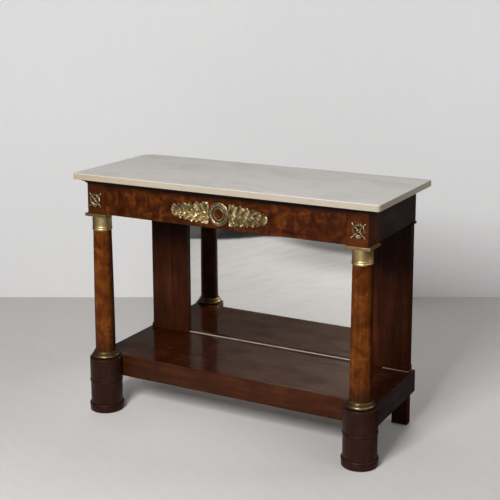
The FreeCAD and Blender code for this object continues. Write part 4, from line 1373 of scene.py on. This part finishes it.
@dataclass
class CornerCasting:
    """Laurel wreath over crossed torches, tied with a ribbon."""

    palette: Palette
    half_width: float = 18.6
    half_height: float = 20.4
    rise: float = 1.5
    band: float = 2.8
    leaves: int = 22
    torch_length: float = 68.0
    torch_angle: float = 45.0
    boss: float = 2.6
    petals: int = 8
    knot: float = 1.7
    crease: float = 60.0

    def torch(self) -> bmesh.types.BMesh:
        """Turned torch with a flame, upright about the origin.

        Returns:
            The torch.
        """
        half = self.torch_length * 0.5
        profile = [(0.0, -half), (2.0, -half + 0.8), (2.9, -half + 2.6), (2.2, -half + 4.6), (1.2, -half + 6.0),
                   (1.9, -half + 7.4), (1.2, -half + 9.0), (1.5, half - 17.0), (2.6, half - 13.0), (2.9, half - 11.5),
                   (2.0, half - 11.0)]
        profile += bend((2.0, half - 11.0), (0.0, half), 1.4, 5)
        return moved(turned(profile, 12), Matrix.Diagonal((1.0, 0.7, 1.0, 1.0)))

    def wreath(self) -> bmesh.types.BMesh:
        """Oval ring with two rows of laurel leaves.

        Returns:
            The wreath about its own middle, with its back at Y = 0.
        """
        inner = self.half_width - self.band
        ring = [(inner, 0.0), (inner, 1.4)]
        ring += bend((inner, 1.4), (self.half_width, 1.4), -1.3, 6) + [(self.half_width, 0.0)]
        shapes = [moved(turned(ring, 48), UPRIGHT)]
        for index in range(self.leaves):
            spin = Matrix.Rotation(2.0 * math.pi * index / self.leaves, 4, "Y")
            for row in (-1.0, 1.0):
                blade = leaf(6.6, 2.7, 0.9, 0.9, 0.9, row * 1.0)
                blade = laid(blade, -3.2, inner + self.band * 0.5 + row * 0.7, -1.7, row * 13.0)
                shapes.append(moved(blade, spin))
        return moved(joined(shapes), Matrix.Diagonal((1.0, 1.0, self.half_height / self.half_width, 1.0)))

    def bow(self, side: float, foot: float) -> list[bmesh.types.BMesh]:
        """Loop and tail of the ribbon under the wreath.

        Args:
            side: 1 for the right half, -1 for the left one.
            foot: height of the wreath's foot, in millimetres.

        Returns:
            The two rods.
        """
        loop = [Vector((side * 0.6, -2.2, foot - 1.0)), Vector((side * 4.6, -3.4, foot + 1.8)),
                Vector((side * 7.8, -2.8, foot - 1.2)), Vector((side * 4.0, -2.4, foot - 3.0)),
                Vector((side * 0.8, -2.2, foot - 1.4))]
        tail = [Vector((side * 0.8, -2.0, foot - 1.6)), Vector((side * 3.6, -2.8, foot - 4.8)),
                Vector((side * 3.0, -2.0, foot - 7.0))]
        return [tube(loop, [1.0, 1.2, 1.3, 1.2, 1.0]), tube(tail, [1.1, 1.2, 0.8])]

    def shape(self) -> bmesh.types.BMesh:
        """Assemble the casting.

        Returns:
            The casting about the origin, with its back at Y = 0.
        """
        shapes = []
        for lean in (self.torch_angle, -self.torch_angle):
            shapes.append(moved(self.torch(), Matrix.Translation((0.0, -1.6 * MM, 0.0))
                                @ Matrix.Rotation(math.radians(lean), 4, "Y")))
        shapes.append(moved(self.wreath(), Matrix.Translation((0.0, 0.0, self.rise * MM))))
        shapes.append(pearl(self.boss, 0.8))
        for ring_of, reach, width in ((0, 8.6, 4.4), (1, 5.6, 3.4)):
            for index in range(self.petals):
                blade = laid(leaf(reach, width, 1.3, 1.0, 0.9), 0.0, 0.0, -1.4 - 0.9 * ring_of)
                shapes.append(laid(blade, 0.0, 0.0, 0.0, (index + 0.5 * ring_of) * 360.0 / self.petals))
        foot = -self.half_height + self.rise
        for side in (-1.0, 1.0):
            shapes += self.bow(side, foot)
        shapes.append(laid(pearl(self.knot, 0.8), 0.0, foot - 1.4, -2.6))
        return joined(shapes)

    def build(self) -> None:
        """Make both castings."""
        for side in Side:
            node = f"corner_casting_{side.value}"
            middle = middle_of(node)
            place = Vector((middle.x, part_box(node)[1].y / MM, middle.z)) * MM
            finish_piece(f"wreath_{side.value}", moved(self.shape(), Matrix.Translation(place)), self.palette.wreath,
                         "frame", [node], self.crease)


@dataclass
class Columns:
    """Turned shafts with their brass abaci, sleeves and bases."""

    palette: Palette
    swell: float = 0.7
    taper: float = 3.4
    fit: float = 0.2
    wall: float = 1.4
    bead: float = 7.5
    grooves: tuple[float, ...] = (3.0, 7.0, 11.0)
    plate_arris: float = 0.5

    def axis(self, side: Side) -> Vector:
        """Where a column stands, in millimetres."""
        middle = middle_of(f"column_shaft_{side.value}")
        return Vector((middle.x, middle.y, 0.0))

    def placed(self, shape: bmesh.types.BMesh, side: Side) -> bmesh.types.BMesh:
        """Move a turned shape to a column's axis."""
        return moved(shape, Matrix.Translation(self.axis(side) * MM))

    def build(self) -> None:
        """Turn every piece of both columns."""
        sleeve_low, sleeve_top = (corner.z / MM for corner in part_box("capital_sleeves"))
        ring_low, ring_top = (corner.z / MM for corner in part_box("column_base_rings"))
        for side in Side:
            node = f"column_shaft_{side.value}"
            low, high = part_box(node)
            foot = (high.x - low.x) * 0.5 / MM
            neck = foot - self.taper
            profile = [(0.0, ring_low), (foot, ring_low), (foot, ring_top)]
            profile += bend((foot, ring_top), (neck, sleeve_low), self.swell, 16)
            profile += [(neck, sleeve_top), (0.0, sleeve_top)]
            finish_piece(f"shaft_{side.value}", self.placed(turned(profile), side), self.palette.column, "frame",
                         [node])
            plate = f"abacus_{side.value}"
            finish_piece(f"plate_{side.value}", eased_copy(plate, self.plate_arris), self.palette.plate, "frame",
                         [plate])
        sleeves = [self.placed(self.sleeve(neck, sleeve_low, sleeve_top), side) for side in Side]
        finish_piece("sleeves", joined(sleeves), self.palette.brass, "frame", ["capital_sleeves"])
        rings = [self.placed(self.base(foot, ring_low, ring_top), side) for side in Side]
        finish_piece("base_rings", joined(rings), self.palette.ring, "frame", ["column_base_rings"])

    def sleeve(self, neck: float, low: float, high: float) -> bmesh.types.BMesh:
        """Brass sleeve with two beads, scribed lines and a flared top.

        Args:
            neck: the shaft's radius under it, in millimetres.
            low: height of its foot.
            high: height of its top.

        Returns:
            The sleeve about the Z axis.
        """
        bore = neck + self.fit
        wall = bore + self.wall
        bead_top = low + self.bead
        ledge = bead_top + 0.8 * self.bead
        profile = [(bore, low), (wall, low)] + bend((wall, low), (wall, bead_top), self.wall)
        profile += [(wall - 0.4, bead_top + 0.6)]
        profile += bend((wall - 0.4, bead_top + 0.6), (wall, ledge), self.wall * 0.7)
        for groove in self.grooves:
            lip = ledge + groove
            profile += [(wall, lip), (wall - 0.7, lip + 0.8), (wall, lip + 1.6)]
        profile += [(wall, high - 4.0)] + bend((wall, high - 4.0), (wall + 1.2, high), -0.3, 4) + [(bore, high)]
        return turned(profile)

    def base(self, foot: float, low: float, high: float) -> bmesh.types.BMesh:
        """Moulded brass base: torus, fillet, scotia and an upper bead.

        Args:
            foot: the shaft's radius inside it, in millimetres.
            low: height of its foot.
            high: height of its top.

        Returns:
            The base about the Z axis.
        """
        bore = foot + self.fit
        outer = (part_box("column_base_rings")[1].x / MM) - self.axis(Side.RIGHT).x
        waist = bore + 5.5
        profile = [(bore, low), (outer - 3.5, low)]
        profile += bend((outer - 3.5, low), (outer - 4.0, low + 12.5), 3.7, 12)
        profile += [(waist + 2.4, low + 12.8), (waist + 2.2, low + 14.0)]
        profile += bend((waist + 2.2, low + 14.0), (waist - 1.0, low + 17.5), -1.0, 6)
        profile += bend((waist - 1.0, low + 17.5), (waist - 1.0, low + 21.5), 1.6, 6)
        profile += [(bore + 3.0, low + 21.8), (bore + 2.6, high), (bore, high)]
        return turned(profile)


@dataclass
class Drums:
    """Drum feet and their base mouldings."""

    palette: Palette
    shoulder: float = 4.0
    bead: float = 6.0
    bead_drop: float = 10.0
    bead_bulge: float = 3.1
    foot_proud: float = 4.1
    slack: float = 0.15
    steps: int = 120

    def build(self) -> None:
        """Turn both drums and both base mouldings."""
        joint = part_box("drum_feet")[1].z / MM
        outer = (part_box("drum_feet")[1].x / MM) - middle_of("drum_right").x
        radius = outer - self.foot_proud
        feet = []
        for side in Side:
            node = f"drum_{side.value}"
            middle = middle_of(node)
            place = Matrix.Translation(Vector((middle.x, middle.y, 0.0)) * MM)
            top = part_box(node)[1].z / MM
            finish_piece(f"drum_body_{side.value}", moved(self.drum(radius, joint, top), place), self.palette.drum,
                         "frame", [node])
            feet.append(moved(self.foot(radius, outer - self.slack, joint), place))
        finish_piece("drum_bases", joined(feet), self.palette.drum, "frame", ["drum_feet"])

    def drum(self, radius: float, low: float, top: float) -> bmesh.types.BMesh:
        """Drum with a rounded shoulder and a bead under the shelf.

        Args:
            radius: its radius, in millimetres.
            low: height of its foot.
            top: height of its top.

        Returns:
            The drum about the Z axis.
        """
        bead_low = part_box("shelf_front_rail")[0].z / MM - self.bead_drop
        bead_high = bead_low + self.bead
        profile = [(0.0, low), (radius - 0.9, low), (radius - 0.7, bead_low - 1.4), (radius - 1.7, bead_low - 1.0),
                   (radius - 1.7, bead_low)]
        profile += bend((radius - 1.7, bead_low), (radius - 1.2, bead_high), self.bead_bulge, 8)
        profile += [(radius - 1.2, bead_high + 0.8), (radius, bead_high + 1.4), (radius, top - self.shoulder)]
        profile += bend((radius, top - self.shoulder), (radius - self.shoulder, top), self.shoulder * 0.29)
        return turned(profile + [(0.0, top)], self.steps)

    def foot(self, radius: float, outer: float, high: float) -> bmesh.types.BMesh:
        """Base moulding with a scribed groove.

        Args:
            radius: the drum's radius, in millimetres.
            outer: its own greatest radius.
            high: height of its top.

        Returns:
            The moulding about the Z axis.
        """
        groove = high - 9.0
        profile = [(0.0, 0.0), (outer - 2.6, 0.0)] + bend((outer - 2.6, 0.0), (outer - 1.0, 3.0), 0.5, 4)
        profile += [(outer - 0.8, groove - 2.6)]
        profile += bend((outer - 0.8, groove - 2.6), (outer - 3.0, groove - 1.0), 0.6, 4)
        profile += [(outer - 3.0, groove)] + bend((outer - 3.0, groove), (outer, groove + 1.4), 0.4, 4)
        profile += bend((outer, groove + 1.4), (radius, high), 1.8, 8) + [(0.0, high)]
        return turned(profile, self.steps)


@dataclass
class Shelf:
    """The platform shelf."""

    palette: Palette
    board_arris: float = 0.5
    arris: float = 1.2

    def build(self) -> None:
        """Round the visible arrises and dress the hidden timbers."""
        self.board()
        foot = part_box("shelf_front_rail")[0].z + MM
        finish_piece("shelf_front", eased_copy("shelf_front_rail", self.arris, lambda middle: middle.z < foot),
                     self.palette.shelf_front, "frame", ["shelf_front_rail"])
        for side in Side:
            node = f"shelf_end_rail_{side.value}"
            finish_piece(f"shelf_end_{side.value}", eased_copy(node, self.arris, lambda middle: middle.z < foot),
                         self.palette.end, "frame", [node])
            dress(f"shelf_block_{side.value}", self.palette.carcass_cross)
            dress(f"shelf_bearer_{side.value}", self.palette.carcass_cross)
        dress("shelf_back_rail", self.palette.carcass)

    def board(self) -> None:
        """Round the board's upper arrises, and give its front and ends the finishes of the rails under them."""
        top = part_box("shelf_board")[1].z - 2.0 * MM
        board = finish_piece("shelf_top", eased_copy("shelf_board", self.board_arris, lambda middle: middle.z > top),
                             self.palette.shelf, "frame", ["shelf_board"])
        board.data.materials.append(self.palette.shelf_front)
        board.data.materials.append(self.palette.end)
        for face in board.data.polygons:
            # End faces take the end finish, with its painted shade and reflection.
            face.material_index = 1 if face.normal.y < -0.5 else 2 if abs(face.normal.x) > 0.5 else 0


@dataclass
class RearFrame:
    """Pilasters, plinths, caps and rear feet."""

    palette: Palette
    arris: float = 0.7

    def build(self) -> None:
        """Round the arrises of every piece."""
        for side in Side:
            for part, slot in (("pilaster", "red_mahogany"), ("pilaster_plinth", "red_mahogany"),
                               ("pilaster_cap", "dark_mahogany"), ("rear_foot", "red_mahogany")):
                node = f"{part}_{side.value}"
                finish = self.palette.rear
                if part == "pilaster_cap":
                    # The caps take the near-black finish that paints the shade under the frieze.
                    finish = self.palette.cornice
                elif node == "pilaster_plinth_right":
                    # The right plinth takes the finish with the painted highlight at its foot.
                    finish = self.palette.plinth
                finish_piece(f"{part}_eased_{side.value}", eased_copy(node, self.arris), finish, "frame", [node])


@dataclass
class MirrorBack:
    """Stiles, rail, plate and backboard of the mirror."""

    palette: Palette
    arris: float = 0.6
    facet_height: float = 1.5
    facet_depth: float = 0.5
    facet_lip: float = 0.05

    def build(self) -> None:
        """Dress the frame and make the plate's lower edge with its painted glint."""
        for side in Side:
            node = f"mirror_stile_{side.value}"
            finish_piece(f"stile_{side.value}", eased_copy(node, self.arris), self.palette.rear, "frame",
                         [node])
        dress("mirror_top_rail", self.palette.rear)
        dress("mirror_backboard", self.palette.carcass)
        dress("mirror_glass", self.palette.mirror)
        self.lower_edge()

    def lower_edge(self) -> None:
        """Narrow facet along the foot of the plate, between the stiles, finished pale as a painted glint."""
        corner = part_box("mirror_glass")[0]
        half_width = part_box("mirror_stile_right")[0].x
        height = self.facet_height * MM
        depth = self.facet_depth * MM
        middle = Vector((0.0, corner.y - 0.5 * depth, corner.z + 0.5 * height))
        shape = bmesh.new()
        bmesh.ops.create_cube(shape, size=1.0)
        bmesh.ops.scale(shape, vec=(2.0 * half_width, depth, height), verts=shape.verts)
        bmesh.ops.translate(shape, vec=middle, verts=shape.verts)
        for vert in shape.verts:
            if vert.co.z > middle.z and vert.co.y < middle.y:
                vert.co.y = corner.y - self.facet_lip * MM
        finish_piece("mirror_lower_edge", shape, self.palette.painted_glint_edge, "frame")


# ---- studio ----

@dataclass
class Softbox:
    """One large square lamp."""

    name: str
    place: Triple
    aim: Triple
    size: float
    power: float

    def build(self) -> None:
        """Hang the lamp."""
        lamp = bpy.data.lights.new(self.name, "AREA")
        lamp.shape = "SQUARE"
        lamp.size = self.size
        lamp.energy = self.power
        holder = bpy.data.objects.new(self.name, lamp)
        holder.location = self.place
        holder.rotation_euler = (Vector(self.aim) - Vector(self.place)).to_track_quat("-Z", "Y").to_euler()
        bpy.context.scene.collection.objects.link(holder)


@dataclass
class Studio:
    """Floor, wall, lamps and camera."""

    eye: Triple = (1.7319, -3.1389, 1.5356)
    yaw: float = 27.746
    pitch: float = -10.341
    focal_pixels: float = 1077.33
    principal: tuple[float, float] = (270.0, 170.0)
    frame_pixels: float = 500.0
    sensor: float = 36.0
    floor_half: float = 8.0
    floor_drop: float = 0.0005
    wall_half: float = 7.0
    wall_sunk: float = 0.1
    wall_distance: float = 5.0
    world_level: float = 0.12
    world_tone: Colour = (0.97, 0.985, 1.0)
    room_lean: float = 0.573
    room_low: Colour = (0.11, 0.115, 0.105)
    room_high: Colour = (0.66, 0.52, 0.43)
    backdrop: Colour = (0.58, 0.58, 0.575)

    def camera(self) -> None:
        """Set the camera where the table is seen from."""
        lens = bpy.data.cameras.new("camera")
        lens.sensor_width = self.sensor
        lens.lens = self.focal_pixels * self.sensor / self.frame_pixels
        lens.shift_x = (self.frame_pixels * 0.5 - self.principal[0]) / self.frame_pixels
        lens.shift_y = (self.principal[1] - self.frame_pixels * 0.5) / self.frame_pixels
        holder = bpy.data.objects.new("camera", lens)
        holder.location = self.eye
        holder.rotation_euler = (math.radians(90.0 + self.pitch), 0.0, math.radians(self.yaw))
        bpy.context.scene.collection.objects.link(holder)
        bpy.context.scene.camera = holder

    def floor(self) -> None:
        """Lay a wide pale floor."""
        shape = bmesh.new()
        bmesh.ops.create_grid(shape, x_segments=1, y_segments=1, size=self.floor_half)
        bmesh.ops.translate(shape, vec=(0.0, 0.0, -self.floor_drop), verts=shape.verts)
        shades = (Patch((-0.45, -1.8, 0.0), 0.0, (0.7, 0.45, DEEP), 0.4),
                  Patch((-0.74, -1.95, 0.0), 9.0, (0.5, 0.17, DEEP), 0.72),
                  Patch((-1.66, -1.66, 0.0), 0.0, (0.2, 0.2, DEEP), 0.25))
        self.stand("floor", shape, Plaster("floor_finish", (0.7, 0.677, 0.66), (0.64, 0.62, 0.605), 0.6,
                                           Patch((-0.5, -1.3, 0.0), 0.0, (1.8, 1.6, DEEP)), -2.785, 0.7, shades,
                                           glow=Patch((-1.68, -1.86, 0.0), 0.0, (0.26, 0.34, DEEP), 0.17),
                                           # Painted light: a paler pool of floor around and under the table.
                                           painted_light_pool=Patch((-0.25, 0.0, 0.0), 0.0, (0.78, 0.55, DEEP), 0.72)))

    def wall(self) -> None:
        """Stand a pale wall behind the table, clear from its back."""
        yaw = math.radians(self.yaw)
        heading = Vector((-math.sin(yaw), math.cos(yaw), 0.0))
        foot = Vector((self.eye[0], self.eye[1], -self.wall_sunk)) + heading * self.wall_distance
        place = foot + Vector((0.0, 0.0, self.wall_half))
        shape = bmesh.new()
        bmesh.ops.create_grid(shape, x_segments=1, y_segments=1, size=self.wall_half)
        moved(shape, Matrix.Translation(place) @ Matrix.Rotation(yaw, 4, "Z") @ UPRIGHT)
        self.stand("wall", shape, Plaster("wall_finish", (0.87, 0.87, 0.87), (0.85, 0.85, 0.852), 0.9,
                                          Patch((place.x, place.y, 0.0), 0.0, (0.1, 0.1, 0.1)), -9.0,
                                          unlit=(0.17, 0.17, 0.16), one_sided=True))

    @staticmethod
    def stand(name: str, shape: bmesh.types.BMesh, finish: Plaster) -> None:
        """Add one piece of the stage.

        Args:
            name: the piece's name.
            shape: its form in metres; it is freed.
            finish: its finish.
        """
        mesh = bpy.data.meshes.new(name)
        shape.to_mesh(mesh)
        shape.free()
        mesh.materials.append(finish.build())
        piece = bpy.data.objects.new(name, mesh)
        bpy.context.scene.collection.objects.link(piece)

    def light(self) -> None:
        """Set the room's air and hang the softboxes."""
        """Set the room's air and hang the softboxes."""
        bench = AirBench("studio_air")
        heading = bench.node("ShaderNodeTexCoord", output="Generated")
        height = bench.part(heading, "Z")
        across = bench.part(heading, "X")
        seen = bench.node("ShaderNodeLightPath", output="Is Camera Ray")
        glossy = bench.node("ShaderNodeLightPath", output="Is Glossy Ray")
        room = bench.mix((height + across * self.room_lean).between(0.02, 0.21), self.room_low, self.room_high)
        colour = bench.mix(glossy, tuple(self.world_level * part for part in self.world_tone), room)
        bench.set(Color=bench.mix(seen, colour, self.backdrop))
        Softbox("key", (0.27, -3.05, 2.38), (0.0, 0.0, 0.4), 1.1, 121.0).build()
        Softbox("wall_wash", (1.6, 0.7, 1.3), (0.35, 1.8, 0.3), 0.8, 4.5).build()
        Softbox("side", (3.0, -0.5, 3.0), (0.5, 0.5, 0.3), 2.0, 13.0).build()

    def build(self) -> None:
        """Build the whole studio."""
        bpy.context.scene.view_settings.view_transform = "Standard"
        self.camera()
        self.floor()
        self.wall()
        self.light()


def main() -> None:
    """Build the looks in order."""
    logging.basicConfig(level=logging.INFO, format="%(name)s: %(message)s")
    Studio().build()
    palette = Palette()
    for assembly in (MarbleTop, FriezeCarcass, Drawer, Roundel, Spray, CornerCasting, Columns, Drums, Shelf,
                     RearFrame, MirrorBack):
        assembly(palette).build()


if __name__ == "__main__":
    main()
